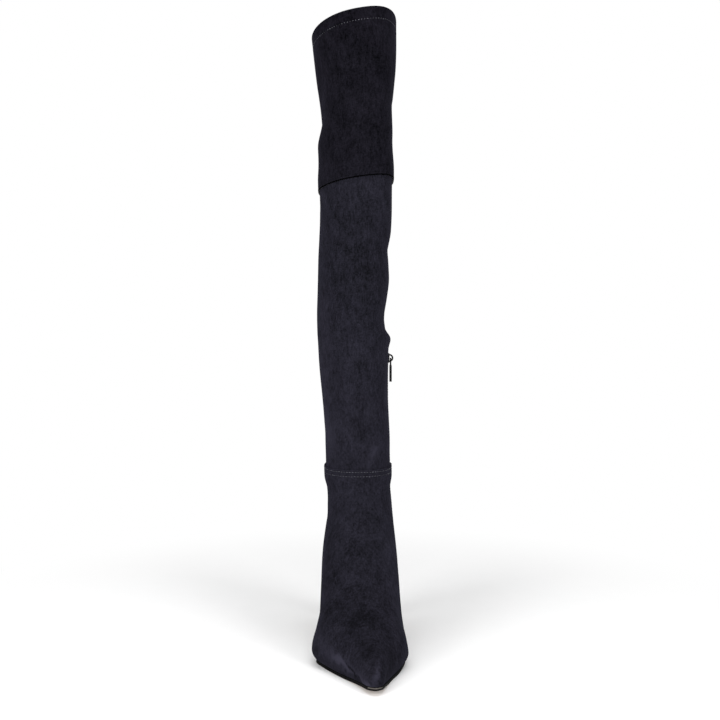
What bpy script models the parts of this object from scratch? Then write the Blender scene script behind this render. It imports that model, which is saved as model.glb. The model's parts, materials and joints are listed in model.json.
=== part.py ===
"""A thigh high boot for the right foot: suede upper, shaft and thigh cuff, pointed toe, slim covered heel.

The frame is in metres. +Z is up, the toe points along -Y, and +X is the inner side of the leg. The
origin is the centre of the heel tip, on the floor. One function gives the outer face of the whole boot,
from tables of sections, and every wall, sole, slot and zip takes its place from it.
"""

import bpy
import numpy as np

# Driving sizes of the last and the leg
FOOT_LENGTH = 0.242
BALL_WIDTH = 0.094
INSTEP_HEIGHT = 0.100
HEEL_HEIGHT = 0.085
TOE_SPRING = 0.005
NOSE_ROUNDING = 0.008
TOE_CAP_LENGTH = 0.026
HEEL_ROUNDING = 0.032
BOOT_HEIGHT = 0.663
SHAFT_WIDTH = 0.076
SHAFT_DEPTH = 0.120
ANKLE_AXIS_SETBACK = 0.058
FOOT_AXIS_SHIFT = 0.003

# Seams and edges, as heights above the floor
ANKLE_SEAM = 0.183
KNEE_SEAM = 0.491
SEAM_LAP = 0.011
LAP_RAMP = 0.006
ANKLE_LAP_FLARE = 0.014
KNEE_LAP_FLARE = 0.034
KNEE_SIDE_RISE = 0.0046
COLLAR_SIDE_RISE = 0.0059
COLLAR_BACK_DIP = 0.016
COLLAR_FRONT_RISE = 0.0020

# Walls, sole and clearances
WALL = 0.0018
GAP = 0.0003
SOLE_THICKNESS = 0.003
SOLE_EDGE = 0.0008
INSOLE_THICKNESS = 0.002
LEG_START = 0.020

# Heel
HEEL_OVERHANG = 0.030
HEEL_SEAT_LENGTH = 0.054
HEEL_TIP_LENGTH = 0.014
HEEL_TIP_WIDTH = 0.013
HEEL_TIP_THICKNESS = 0.006

# Zip, whose line is straight when seen from the inner side
ZIP_BOTTOM = 0.100
ZIP_TOP = 0.308
ZIP_BOTTOM_Y = -0.018
ZIP_TOP_Y = -0.010
ZIP_SLOT_WIDTH = 0.0068
ZIP_CHAIN_WIDTH = 0.0052
ZIP_CHAIN_SINK = 0.0002
ZIP_TAPE_WIDTH = 0.022
ZIP_TAPE_THICKNESS = 0.0007
ZIP_TAPE_GAP = 0.0005
ZIP_TAPE_END = 0.005
ZIP_CHAIN_END = 0.0006
ZIP_TAPE_RIB = 0.00015

# Slider and pull tab
SLIDER_BELOW_TOP = 0.009
SLIDER_LENGTH = 0.0108
SLIDER_WIDTH = 0.0082
SLIDER_TAPER = 0.0014
SLIDER_THICKNESS = 0.0015
SLIDER_LIFT = 0.0006
BRIDGE_LENGTH = 0.0076
BRIDGE_RISE = 0.0037
BRIDGE_THICKNESS = 0.0011
BRIDGE_WIDTH = 0.0020
BRIDGE_SINK = 0.0004
PIVOT_RISE = 0.0013
PIVOT_DROP = 0.0006
PULL_LENGTH = 0.0270
PULL_EYE_WIDTH = 0.0056
PULL_BLADE_WIDTH = 0.0046
PULL_THICKNESS = 0.0016
PULL_BAR = 0.0016
PULL_EYE_HOLE_WIDTH = 0.0032
PULL_EYE_REACH = 0.0050
PULL_EDGE_BEVEL = 0.00035

# How finely the curved walls are divided
POINTS_PER_SIDE = 25
FOOT_LEVELS = (0.0, 0.03, 0.07, 0.12, 0.18, 0.26, 0.35, 0.45, 0.56, 0.68, 0.80, 0.91, 1.0)
CALF_RINGS = 9
CUFF_RINGS = 12
ZIP_STATIONS = 18
HEEL_POINTS = 28

HEEL_BACK_Y = HEEL_OVERHANG
TOE_Y = HEEL_BACK_Y - FOOT_LENGTH
ANKLE_Y = HEEL_BACK_Y - ANKLE_AXIS_SETBACK
SLIDER_HEIGHT = ZIP_TOP - SLIDER_BELOW_TOP

# The sole's line. along: share of FOOT_LENGTH from the heel's back. rise: share of the heel's height
# over the sole. spring: share of TOE_SPRING.
SOLE_LINE = (
    # along, rise, spring
    (0.000, 1.000, 0.00),
    (0.100, 0.965, 0.00),
    (0.205, 0.880, 0.00),
    (0.290, 0.755, 0.00),
    (0.370, 0.575, 0.00),
    (0.455, 0.355, 0.00),
    (0.525, 0.180, 0.00),
    (0.585, 0.060, 0.00),
    (0.635, 0.000, 0.00),
    (0.800, 0.000, 0.00),
    (0.850, 0.000, 0.08),
    (0.900, 0.000, 0.28),
    (0.950, 0.000, 0.60),
    (1.000, 0.000, 1.00),
)

# The foot's sections. along: share of FOOT_LENGTH. Sides: shares of BALL_WIDTH from the foot's axis,
# outer side negative, at the feather edge and at the widest level. wide_up and ridge: shares of
# INSTEP_HEIGHT above the sole, of the widest level and of the top line. ridge_in: share of BALL_WIDTH
# by which the top line lies towards the inner side.
FOOT_SECTIONS = (
    # along, feather_out, feather_in, wide_out, wide_in, wide_up, ridge, ridge_in, squareness
    (0.000, -0.270, 0.260, -0.300, 0.290, 0.26, 0.75, 0.00, 2.1),
    (0.125, -0.285, 0.275, -0.330, 0.315, 0.26, 0.82, 0.00, 2.1),
    (0.205, -0.280, 0.255, -0.358, 0.355, 0.27, 0.98, 0.00, 2.1),
    (0.310, -0.262, 0.215, -0.410, 0.398, 0.28, 1.12, 0.01, 2.0),
    (0.370, -0.258, 0.195, -0.430, 0.418, 0.32, 1.17, 0.02, 2.0),
    (0.463, -0.285, 0.215, -0.434, 0.438, 0.26, 1.13, 0.03, 1.9),
    (0.535, -0.330, 0.270, -0.440, 0.454, 0.18, 0.97, 0.04, 1.8),
    (0.597, -0.390, 0.350, -0.482, 0.480, 0.13, 0.83, 0.05, 1.65),
    (0.648, -0.454, 0.468, -0.508, 0.500, 0.11, 0.71, 0.06, 1.7),
    (0.698, -0.392, 0.446, -0.486, 0.504, 0.11, 0.60, 0.07, 1.7),
    (0.760, -0.288, 0.404, -0.350, 0.448, 0.11, 0.50, 0.08, 1.8),
    (0.840, -0.134, 0.320, -0.174, 0.352, 0.10, 0.38, 0.10, 1.9),
    (0.888, -0.043, 0.281, -0.078, 0.304, 0.10, 0.32, 0.115, 1.9),
    (0.948, 0.036, 0.234, 0.014, 0.250, 0.10, 0.25, 0.13, 2.0),
    (1.000, 0.088, 0.202, 0.068, 0.218, 0.09, 0.20, 0.14, 2.0),
)

# The leg's sections. level: share of the height from the heel seat to the collar. Sides: shares of
# SHAFT_WIDTH from the foot's axis. front and back: shares of SHAFT_DEPTH from the ankle's axis.
# twist: share of SHAFT_WIDTH by which the front lies towards the inner side.
LEG_SECTIONS = (
    # level, outer, inner, front, back, twist
    (-0.02, 0.330, 0.330, 0.260, 0.440, 0.00),
    (0.03, 0.362, 0.370, 0.320, 0.470, 0.00),
    (0.07, 0.402, 0.408, 0.350, 0.474, 0.00),
    (0.10, 0.440, 0.426, 0.372, 0.456, 0.00),
    (0.14, 0.488, 0.434, 0.385, 0.442, 0.00),
    (0.21, 0.502, 0.436, 0.395, 0.465, 0.02),
    (0.30, 0.546, 0.408, 0.412, 0.500, 0.05),
    (0.385, 0.608, 0.410, 0.415, 0.550, 0.09),
    (0.407, 0.618, 0.437, 0.415, 0.560, 0.09),
    (0.428, 0.626, 0.366, 0.415, 0.565, 0.10),
    (0.455, 0.628, 0.363, 0.413, 0.570, 0.10),
    (0.483, 0.627, 0.388, 0.412, 0.572, 0.11),
    (0.522, 0.622, 0.420, 0.410, 0.572, 0.12),
    (0.57, 0.612, 0.412, 0.404, 0.568, 0.12),
    (0.61, 0.598, 0.450, 0.400, 0.560, 0.13),
    (0.66, 0.585, 0.464, 0.402, 0.545, 0.14),
    (0.74, 0.592, 0.464, 0.418, 0.540, 0.15),
    (0.785, 0.612, 0.470, 0.430, 0.545, 0.15),
    (0.828, 0.560, 0.458, 0.437, 0.550, 0.15),
    (0.91, 0.630, 0.516, 0.460, 0.575, 0.12),
    (1.00, 0.708, 0.530, 0.485, 0.610, 0.10),
)

# The heel's curve behind. up: share of INSTEP_HEIGHT above the seat. drawn_in: share of HEEL_ROUNDING by
# which the back lies ahead of the heel's backmost point.
HEEL_CURVE = (
    # up, drawn_in
    (0.00, 0.07),
    (0.10, 0.02),
    (0.22, 0.00),
    (0.36, 0.08),
    (0.52, 0.26),
    (0.70, 0.55),
    (1.00, 1.00),
)

# The fillet between the foot's form and the leg's. along: share of FOOT_LENGTH. fillet: share of
# INSTEP_HEIGHT.
FILLETS = (
    # along, fillet
    (0.00, 0.015),
    (0.03, 0.015),
    (0.15, 0.180),
    (0.24, 0.180),
    (0.49, 0.260),
)

LEG_SQUARENESS = 2.3
HEEL_SQUARENESS = 2.4

# The heel's sections. down: share of the way from the seat to the tip. half_width: share of the width
# at the seat. back and front: shares of HEEL_SEAT_LENGTH, from the tip's centre.
HEEL_SECTIONS = (
    # down, half_width, back, front
    (0.00, 0.960, 0.530, -0.460),
    (0.05, 0.880, 0.538, -0.390),
    (0.10, 0.790, 0.538, -0.325),
    (0.16, 0.680, 0.525, -0.262),
    (0.22, 0.580, 0.500, -0.218),
    (0.30, 0.480, 0.450, -0.180),
    (0.38, 0.412, 0.395, -0.158),
    (0.48, 0.355, 0.328, -0.142),
    (0.58, 0.315, 0.270, -0.134),
    (0.70, 0.282, 0.213, -0.130),
    (0.82, 0.260, 0.170, -0.129),
    (0.92, 0.249, 0.145, -0.129),
    (1.00, 0.247, 0.130, -0.130),
)


def curve_through(rows, column):
    """A smooth function of the tables' first column, with no overshoot between its rows."""
    x = np.array([row[0] for row in rows])
    y = np.array([row[column] for row in rows])
    h = np.diff(x)
    slope = np.diff(y) / h
    tangent = np.concatenate(([slope[0]], np.zeros(len(x) - 2), [slope[-1]]))
    for i in range(1, len(x) - 1):
        before, after = slope[i - 1], slope[i]
        if before * after > 0:
            near, far = 2 * h[i] + h[i - 1], h[i] + 2 * h[i - 1]
            tangent[i] = (near + far) / (near / before + far / after)

    def value(at):
        at = np.clip(at, x[0], x[-1])
        i = np.clip(np.searchsorted(x, at, side="right") - 1, 0, len(h) - 1)
        u = (at - x[i]) / h[i]
        return (
            y[i] * (1 + 2 * u) * (1 - u) ** 2
            + h[i] * tangent[i] * u * (1 - u) ** 2
            + y[i + 1] * u * u * (3 - 2 * u)
            + h[i] * tangent[i + 1] * u * u * (u - 1)
        )

    return value


sole_rise, sole_spring = (curve_through(SOLE_LINE, c) for c in (1, 2))
(feather_out, feather_in, wide_out, wide_in, wide_up, ridge_up, ridge_in, squareness) = (
    curve_through(FOOT_SECTIONS, c) for c in range(1, 9)
)
heel_drawn_in, fillet_share = curve_through(HEEL_CURVE, 1), curve_through(FILLETS, 1)
leg_out, leg_in, leg_front, leg_back, leg_twist = (curve_through(LEG_SECTIONS, c) for c in range(1, 6))


def smooth_step(low, high, at):
    """0 below low, 1 above high, and a soft change between them."""
    u = np.clip((at - low) / (high - low), 0, 1)
    return u * u * (3 - 2 * u)


def along_foot(y):
    """The share of the foot's length at y, 0 at the heel's back and 1 at the toe."""
    return (HEEL_BACK_Y - y) / FOOT_LENGTH


def sole_top(y):
    """Height of the outsole's upper face."""
    t = along_foot(y)
    return SOLE_THICKNESS + sole_rise(t) * (HEEL_HEIGHT - SOLE_THICKNESS) + sole_spring(t) * TOE_SPRING


def round_end(y, length):
    """1 along the foot, falling to 0 in a quarter ellipse over this length at the toe's tip."""
    u = np.clip((TOE_Y + length - y) / length, 0, 1)
    return np.sqrt(np.clip(1 - u * u, 0, 1))


def superellipse(p, q, exponent):
    """Distance of the point (p, q) from the curve whose half widths are 1, in shares of its radius."""
    return (np.abs(p) ** exponent + np.abs(q) ** exponent) ** (1 / exponent)


def foot_middle(y, z):
    """x of the middle of the foot's section at this height."""
    t = along_foot(y)
    level = sole_top(y) + wide_up(t) * INSTEP_HEIGHT
    height = np.maximum((ridge_up(t) - wide_up(t)) * INSTEP_HEIGHT, 1e-4)
    rise = np.clip((z - level) / height, 0, 1)
    middle = 0.5 * (wide_out(t) + wide_in(t)) * (1 - rise**2) + ridge_in(t) * rise**2
    return FOOT_AXIS_SHIFT + middle * BALL_WIDTH


def heel_round(y, z):
    """1 along the foot, falling to 0 in a quarter ellipse at the heel's back, and the distance behind that."""
    up = (z - sole_top(y)) / INSTEP_HEIGHT
    back = HEEL_BACK_Y - heel_drawn_in(up) * HEEL_ROUNDING
    u = np.clip((y - back + HEEL_ROUNDING) / HEEL_ROUNDING, 0, 1)
    return np.sqrt(np.clip(1 - u * u, 0, 1)), y - back


def foot_depth(x, y, z):
    """Distance outside the foot's form, negative inside it."""
    t = along_foot(y)
    round_nose, round_cap = round_end(y, NOSE_ROUNDING), round_end(y, TOE_CAP_LENGTH)
    round_heel, behind = heel_round(y, z)
    bottom = sole_top(y)
    level = bottom + wide_up(t) * INSTEP_HEIGHT * round_cap
    height = np.maximum((ridge_up(t) - wide_up(t)) * INSTEP_HEIGHT * round_cap, 1e-4)
    ends = round_nose * round_heel * BALL_WIDTH
    half = np.maximum(0.5 * (wide_in(t) - wide_out(t)) * ends, 1e-4)
    feather = np.maximum(0.5 * (feather_in(t) - feather_out(t)) * ends, 1e-4)
    feather_middle = FOOT_AXIS_SHIFT + 0.5 * (feather_in(t) + feather_out(t)) * BALL_WIDTH
    tuck = np.clip((level - z) / np.maximum(level - bottom, 1e-5), 0, 1) ** 2
    side = x - (foot_middle(y, z) * (1 - tuck) + feather_middle * tuck)
    half_here = half * (1 - tuck) + feather * tuck
    up = np.maximum(z - level, 0) / height
    radius = superellipse(side / half_here, up, squareness(t))
    reach = np.hypot(side, up * height) / np.maximum(radius, 1e-6)
    return np.maximum((radius - 1) * np.maximum(reach, 1e-4), np.maximum(TOE_Y - y, behind))


def leg_middle(y, z):
    """x of the middle of the leg's section."""
    level = (z - HEEL_HEIGHT) / (BOOT_HEIGHT - HEEL_HEIGHT)
    middle = 0.5 * (leg_in(level) - leg_out(level)) * SHAFT_WIDTH
    depth = 0.5 * (leg_front(level) + leg_back(level)) * SHAFT_DEPTH
    centre_y = ANKLE_Y + 0.5 * (leg_back(level) - leg_front(level)) * SHAFT_DEPTH
    forward = np.clip((centre_y - y) / depth, -1, 1)
    return FOOT_AXIS_SHIFT + middle + leg_twist(level) * SHAFT_WIDTH * forward * np.abs(forward)


def leg_depth(x, y, z):
    """Distance outside the leg's form, negative inside it."""
    level = (z - HEEL_HEIGHT) / (BOOT_HEIGHT - HEEL_HEIGHT)
    half = 0.5 * (leg_in(level) + leg_out(level)) * SHAFT_WIDTH
    depth = 0.5 * (leg_front(level) + leg_back(level)) * SHAFT_DEPTH
    centre_y = ANKLE_Y + 0.5 * (leg_back(level) - leg_front(level)) * SHAFT_DEPTH
    side, back = x - leg_middle(y, z), y - centre_y
    radius = superellipse(side / half, back / depth, LEG_SQUARENESS)
    reach = np.hypot(side, back) / np.maximum(radius, 1e-6)
    return np.maximum((radius - 1) * np.maximum(reach, 1e-4), sole_top(y) + LEG_START - z)


def boot_depth(x, y, z):
    """Distance outside the boot's outer face: the foot and the leg, joined with a fillet at the instep."""
    foot, leg = foot_depth(x, y, z), leg_depth(x, y, z)
    fillet = fillet_share(along_foot(y)) * INSTEP_HEIGHT
    blend = np.maximum(fillet - np.abs(foot - leg), 0) / fillet
    return np.minimum(foot, leg) - 0.25 * fillet * blend * blend


def inside_x(y, z):
    """An x inside the boot at (y, z), or as near to its inside as there is."""
    foot, leg = foot_middle(y, z), leg_middle(y, z)
    return np.where(foot_depth(foot, y, z) < leg_depth(leg, y, z), foot, leg)


def halve(inner, outer, outside):
    """The place between inner and outer where outside(place) turns positive."""
    for _ in range(26):
        middle = 0.5 * (inner + outer)
        out = outside(middle) > 0
        outer = np.where(out, middle, outer)
        inner = np.where(out, inner, middle)
    return 0.5 * (inner + outer)


def side_x(y, z, side):
    """x of the outer face at (y, z), on the inner side of the leg (side 1) or the outer (side -1)."""
    start = inside_x(y, z)
    return halve(start, start + side * BALL_WIDTH, lambda x: boot_depth(x, y, z))


def lift(x, y, z):
    """How far the seams and the collar rise to the inner side and dip to the back, above the plain level z."""
    knee = np.clip((z - ANKLE_SEAM) / (KNEE_SEAM - ANKLE_SEAM), 0, 1)
    top = np.clip((z - KNEE_SEAM) / (BOOT_HEIGHT - KNEE_SEAM), 0, 1)
    slope = (knee * KNEE_SIDE_RISE + top * (COLLAR_SIDE_RISE - KNEE_SIDE_RISE)) / (0.5 * SHAFT_WIDTH)
    back = smooth_step(0, 1, (y - ANKLE_Y) / (0.6 * SHAFT_DEPTH))
    front = smooth_step(0, 1, (ANKLE_Y - y) / (0.5 * SHAFT_DEPTH))
    curve = COLLAR_FRONT_RISE * front - COLLAR_BACK_DIP * back
    return slope * (x - FOOT_AXIS_SHIFT) + top * curve


def rings_at(level_of):
    """Closed rings of the outer face at the heights level_of(y), from the front down the inner side to the back."""
    def inside(y):
        return boot_depth(inside_x(y, level_of(y)), y, level_of(y))

    start = ANKLE_Y + 0 * level_of(ANKLE_Y)
    front = halve(start, start * 0 + TOE_Y - NOSE_ROUNDING, inside)
    back = halve(start, start * 0 + HEEL_BACK_Y + SHAFT_DEPTH, inside)
    turn = np.linspace(0, np.pi, POINTS_PER_SIDE)
    y = front + (back - front) * 0.5 * (1 - np.cos(turn))
    z = level_of(y)
    inner, outer, ends = side_x(y, z, 1), side_x(y, z, -1), inside_x(y, z)
    inner[:, [0, -1]] = ends[:, [0, -1]]
    x = np.concatenate((inner, outer[:, -2:0:-1]), axis=1)
    y = np.concatenate((y, y[:, -2:0:-1]), axis=1)
    z = np.concatenate((z, z[:, -2:0:-1]), axis=1)
    return np.stack((x, y, z + lift(x, y, z)), axis=2)


def foot_rings(shares):
    """Rings that lie these shares of the way from the feather edge to the ramp below the ankle seam."""
    top = ANKLE_SEAM - SEAM_LAP - LAP_RAMP
    share = np.array(shares)[:, None]
    return rings_at(lambda y: sole_top(y) + share * (top - sole_top(y)))


def leg_rings(heights):
    """Rings of the leg at these heights, before their lift."""
    height = np.array(heights)[:, None]
    return rings_at(lambda y: height + 0 * y)


def face_normals(rings):
    """Outward normals of a stack of rings that runs upwards, from its own neighbours."""
    around = np.roll(rings, -1, axis=1) - np.roll(rings, 1, axis=1)
    upward = np.gradient(rings, axis=0)
    normals = np.cross(around, upward)
    return normals / np.linalg.norm(normals, axis=2, keepdims=True)


def moved(rings, distance):
    """The stack of rings moved outwards by distance, one value for each ring or one for all."""
    return rings + face_normals(rings) * np.reshape(distance, (-1, 1, 1))


def ankle_flare(heights):
    """How far the upper stands off the plain face as it widens to lap over the shaft."""
    top = ANKLE_SEAM - SEAM_LAP
    return (GAP + WALL) * smooth_step(top - ANKLE_LAP_FLARE, top, np.array(heights))


def knee_flare(heights):
    """How far the cuff stands off the plain face as it narrows above its lap over the shaft."""
    top = KNEE_SEAM + SEAM_LAP
    return (GAP + WALL) * (1 - smooth_step(top, top + KNEE_LAP_FLARE, np.array(heights)))


def add_object(name, points, faces, material):
    """A mesh object at the origin, shaded smooth except at its sharp edges."""
    mesh = bpy.data.meshes.new(name)
    mesh.from_pydata([tuple(map(float, p)) for p in points], [], faces)
    mesh.validate()
    mesh.update()
    mesh.shade_smooth()
    mesh.set_sharp_from_angle(angle=np.radians(40))
    mesh.materials.append(material)
    thing = bpy.data.objects.new(name, mesh)
    bpy.context.scene.collection.objects.link(thing)
    return thing


def band_faces(count, rings, start=0, inwards=False):
    """Quads between each ring and the next, of count points each."""
    faces = []
    for r in range(rings - 1):
        for j in range(count):
            k = (j + 1) % count
            a = start + r * count
            quad = (a + j, a + k, a + count + k, a + count + j)
            faces.append(quad[::-1] if inwards else quad)
    return faces


def hollow_wall(name, outer, inner, material):
    """A tube with a wall, open at both ends, between two stacks of rings that run upwards."""
    rings, count = outer.shape[:2]
    size = rings * count
    points = np.concatenate((outer.reshape(-1, 3), inner.reshape(-1, 3)))
    faces = band_faces(count, rings) + band_faces(count, rings, size, inwards=True)
    last = (rings - 1) * count
    for j in range(count):
        k = (j + 1) % count
        faces.append((size + j, size + k, k, j))
        faces.append((last + j, last + k, size + last + k, size + last + j))
    return add_object(name, points, faces, material)


def closed_loft(name, rings, material):
    """A solid between the first ring and the last, which are filled."""
    count = len(rings[0])
    points = np.concatenate(rings)
    faces = band_faces(count, len(rings))
    faces.append(tuple(range(count - 1, -1, -1)))
    last = (len(rings) - 1) * count
    faces.append(tuple(range(last, last + count)))
    return add_object(name, points, faces, material)


def suede(name, colour):
    return plain_material(name, colour, 0.92, 0.0)


def plain_material(name, colour, roughness, metallic):
    material = bpy.data.materials.new(name)
    material.use_nodes = True
    shader = material.node_tree.nodes["Principled BSDF"]
    shader.inputs["Base Color"].default_value = (*colour, 1)
    shader.inputs["Roughness"].default_value = roughness
    shader.inputs["Metallic"].default_value = metallic
    return material


def make_upper(material):
    """Vamp and quarters: one hollow wall from the feather edge to the ankle seam, where it laps over the shaft."""
    foot = foot_rings(FOOT_LEVELS)
    lap = leg_rings((ANKLE_SEAM - SEAM_LAP, ANKLE_SEAM - 0.5 * SEAM_LAP, ANKLE_SEAM))
    rings = np.concatenate((foot, lap))
    step = ankle_flare(rings[:, :, 2].mean(axis=1))
    outer, inner = moved(rings, step), moved(rings, step - WALL)
    outer[0], inner[0] = seated(outer[0]), seated(inner[0])
    return hollow_wall("upper", outer, inner, material)


def seated(points):
    """The points dropped onto the outsole, less the gap."""
    return np.stack((points[:, 0], points[:, 1], sole_top(points[:, 1]) + GAP), axis=1)


def section_heights():
    """The heights of the leg's sections."""
    return [HEEL_HEIGHT + row[0] * (BOOT_HEIGHT - HEEL_HEIGHT) for row in LEG_SECTIONS]


def make_shaft(material):
    """The leg from the ankle seam, inside the upper's lap, to the knee seam, inside the cuff's."""
    low = (ANKLE_SEAM - SEAM_LAP + GAP, ANKLE_SEAM - 0.5 * SEAM_LAP, ANKLE_SEAM)
    calf = tuple(np.linspace(ANKLE_SEAM, ZIP_TOP, CALF_RINGS))[1:]
    knee = tuple(h for h in section_heights() if ZIP_TOP < h < KNEE_SEAM - SEAM_LAP) + (KNEE_SEAM,)
    rings = leg_rings(low + calf + knee + (KNEE_SEAM + SEAM_LAP - GAP,))
    flat = np.zeros(len(rings))
    return hollow_wall("shaft", moved(rings, flat), moved(rings, flat - WALL), material)


def make_cuff(material):
    """The thigh cuff: it laps over the shaft at the knee seam, and ends in the open collar."""
    heights = [KNEE_SEAM] + list(np.linspace(KNEE_SEAM + SEAM_LAP, BOOT_HEIGHT, CUFF_RINGS))
    rings = leg_rings(heights)
    step = knee_flare(heights)
    return hollow_wall("thigh_cuff", moved(rings, step), moved(rings, step - WALL), material)


def outline_offset(distance):
    """The feather edge's outline, moved outwards in plan by distance."""
    line = foot_rings((0.0,))[0]
    ahead = np.roll(line, -1, axis=0) - np.roll(line, 1, axis=0)
    normal = np.stack((ahead[:, 1], -ahead[:, 0]), axis=1)
    normal /= np.linalg.norm(normal, axis=1, keepdims=True)
    flat = line[:, :2] + normal * distance
    return np.concatenate((flat, line[:, 2:]), axis=1)


def strip_faces(start, count, upwards):
    """Quads from side to side that fill a ring whose points j and count - j lie level."""
    faces = []
    for j in range(count // 2):
        quad = dict.fromkeys((j, j + 1, count - j - 1, (count - j) % count))
        face = tuple(start + v for v in quad)
        faces.append(face if upwards else face[::-1])
    return faces


def sheet_on_sole(name, distance, low, high, material):
    """A sheet that follows the sole's line, with its faces low and high above the outsole's upper face."""
    line = outline_offset(distance)
    count = len(line)
    height = sole_top(line[:, 1])
    rings = [np.stack((line[:, 0], line[:, 1], height + up), axis=1) for up in (low, high)]
    faces = strip_faces(0, count, False) + band_faces(count, 2) + strip_faces(count, count, True)
    return add_object(name, np.concatenate(rings), faces, material)


def heel_outline(half_width, back, front):
    """A plan outline, round behind and flatter at the breast, as x and y around the heel from its breast."""
    turn = np.linspace(0, 2 * np.pi, HEEL_POINTS, endpoint=False)
    power = 2 / HEEL_SQUARENESS
    across = np.sign(np.sin(turn)) * np.abs(np.sin(turn)) ** power
    along = np.sign(np.cos(turn)) * np.abs(np.cos(turn)) ** power
    return half_width * across, 0.5 * (back + front) - 0.5 * (back - front) * along


def make_heel(material):
    """The covered heel: it hangs from the sole's seat and runs down to the tip in one curve."""
    seat_half = 0.5 * (feather_in(0.12) - feather_out(0.12)) * BALL_WIDTH
    low = HEEL_TIP_THICKNESS + GAP
    stations = np.sort(outline_offset(SOLE_EDGE)[:, 1])
    rings = []
    for down, width, back, front in HEEL_SECTIONS:
        half = width * seat_half
        x, y = heel_outline(half, back * HEEL_SEAT_LENGTH, front * HEEL_SEAT_LENGTH)
        seat = np.interp(y, stations, sole_top(stations)) - SOLE_THICKNESS - GAP
        rings.append(np.stack((x, y, seat + (low - seat) * down), axis=1))
    count = HEEL_POINTS
    faces = strip_faces(0, count, False) + band_faces(count, len(rings))
    faces += strip_faces((len(rings) - 1) * count, count, True)
    return add_object("heel", np.concatenate(rings[::-1]), faces, material)


def make_heel_tip(material):
    """The rubber tip that the heel stands on, its underside flat on the floor."""
    x, y = heel_outline(0.5 * HEEL_TIP_WIDTH, 0.5 * HEEL_TIP_LENGTH, -0.5 * HEEL_TIP_LENGTH)
    rings = [np.stack((x, y, 0 * x + z), axis=1) for z in (0.0, HEEL_TIP_THICKNESS)]
    return closed_loft("heel_tip", rings, material)


def zip_y(z):
    """y of the zip's line at the height z."""
    return ZIP_BOTTOM_Y + (ZIP_TOP_Y - ZIP_BOTTOM_Y) * (z - ZIP_BOTTOM) / (ZIP_TOP - ZIP_BOTTOM)


def inner_side_point(y, z):
    """The point of the outer face on the leg's inner side, lifted as the rings are."""
    x = side_x(y, z, 1)
    return np.stack((x, y, z + lift(x, y, z)), axis=-1)


def off_inner_side(y, z, distance):
    """A point at a distance outside the inner side, square to the face."""
    y, z = np.asarray(y, float), np.asarray(z, float)
    step = 0.002
    along = inner_side_point(y + step, z) - inner_side_point(y - step, z)
    up = inner_side_point(y, z + step) - inner_side_point(y, z - step)
    normal = np.cross(along, up)
    normal = normal / np.linalg.norm(normal, axis=-1, keepdims=True)
    return inner_side_point(y, z) + normal * np.asarray(distance)[..., None]


def make_zip(material):
    """The closed zip: a tape behind the wall, and its chain of teeth standing in the slot."""
    tape_face = -WALL - ZIP_TAPE_GAP
    tape_back = tape_face - ZIP_TAPE_THICKNESS
    tape, chain = 0.5 * ZIP_TAPE_WIDTH, 0.5 * ZIP_CHAIN_WIDTH
    low, high = ZIP_BOTTOM + GAP, ZIP_TOP - GAP
    chained = np.linspace(low + ZIP_CHAIN_END, high - ZIP_CHAIN_END, ZIP_STATIONS)
    stations = [(ZIP_BOTTOM - ZIP_TAPE_END, False), (low, False)]
    stations += [(z, True) for z in chained]
    stations += [(high, False), (ZIP_TOP + ZIP_TAPE_END, False)]
    rings = []
    for z, has_chain in stations:
        crest = -ZIP_CHAIN_SINK if has_chain else tape_face + ZIP_TAPE_RIB
        section = (
            (-tape, tape_face), (-chain, tape_face), (-chain, crest), (chain, crest), (chain, tape_face),
            (tape, tape_face), (tape, tape_back), (0.0, tape_back), (-tape, tape_back),
        )
        across = np.array([point[0] for point in section])
        away = np.array([point[1] for point in section])
        rings.append(off_inner_side(zip_y(z) + across, z + 0 * across, away))
    return closed_loft("zip", rings, material)


def slot_cutter():
    """A prism along X through the inner wall, as wide as the zip's slot."""
    half = 0.5 * ZIP_SLOT_WIDTH
    near, far = FOOT_AXIS_SHIFT + 0.1 * SHAFT_WIDTH, FOOT_AXIS_SHIFT + SHAFT_WIDTH
    corners = []
    for z in (ZIP_BOTTOM, ZIP_TOP):
        z_here = z + float(lift(side_x(zip_y(z), z, 1), zip_y(z), z))
        corners.append([(x, zip_y(z) + dy, z_here) for x, dy in ((near, -half), (far, -half), (far, half), (near, half))])
    cutter = closed_loft("zip_slot_cutter", [np.array(c) for c in corners], plain_material("cutter", (1, 0, 0), 1, 0))
    cutter.hide_render = True
    cutter.display_type = "WIRE"
    return cutter


def cut(thing, cutter):
    """Takes the cutter's shape out of the thing."""
    modifier = thing.modifiers.new("Slot", "BOOLEAN")
    modifier.operation = "DIFFERENCE"
    modifier.object = cutter


def slider_seat():
    """The slider's place on the zip: level with its middle, and as far out as the wall under it reaches."""
    z, y = np.meshgrid(
        SLIDER_HEIGHT + 0.5 * SLIDER_LENGTH * np.linspace(-1, 1, 5),
        zip_y(SLIDER_HEIGHT) + 0.5 * SLIDER_WIDTH * np.linspace(-1, 1, 5),
    )
    middle = inner_side_point(np.array(zip_y(SLIDER_HEIGHT)), np.array(SLIDER_HEIGHT))
    return np.array([side_x(y, z, 1).max(), middle[1], middle[2]])


def placed(seat, across, up, out):
    """A point at these distances from the slider's seat."""
    return seat + np.array([out, across, up])


def prism(seat, outline, low, high):
    """Two rings of an outline in the slider's face plane, at two distances out from the wall."""
    return [np.array([placed(seat, a, b, out) for a, b in outline]) for out in (low, high)]


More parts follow.
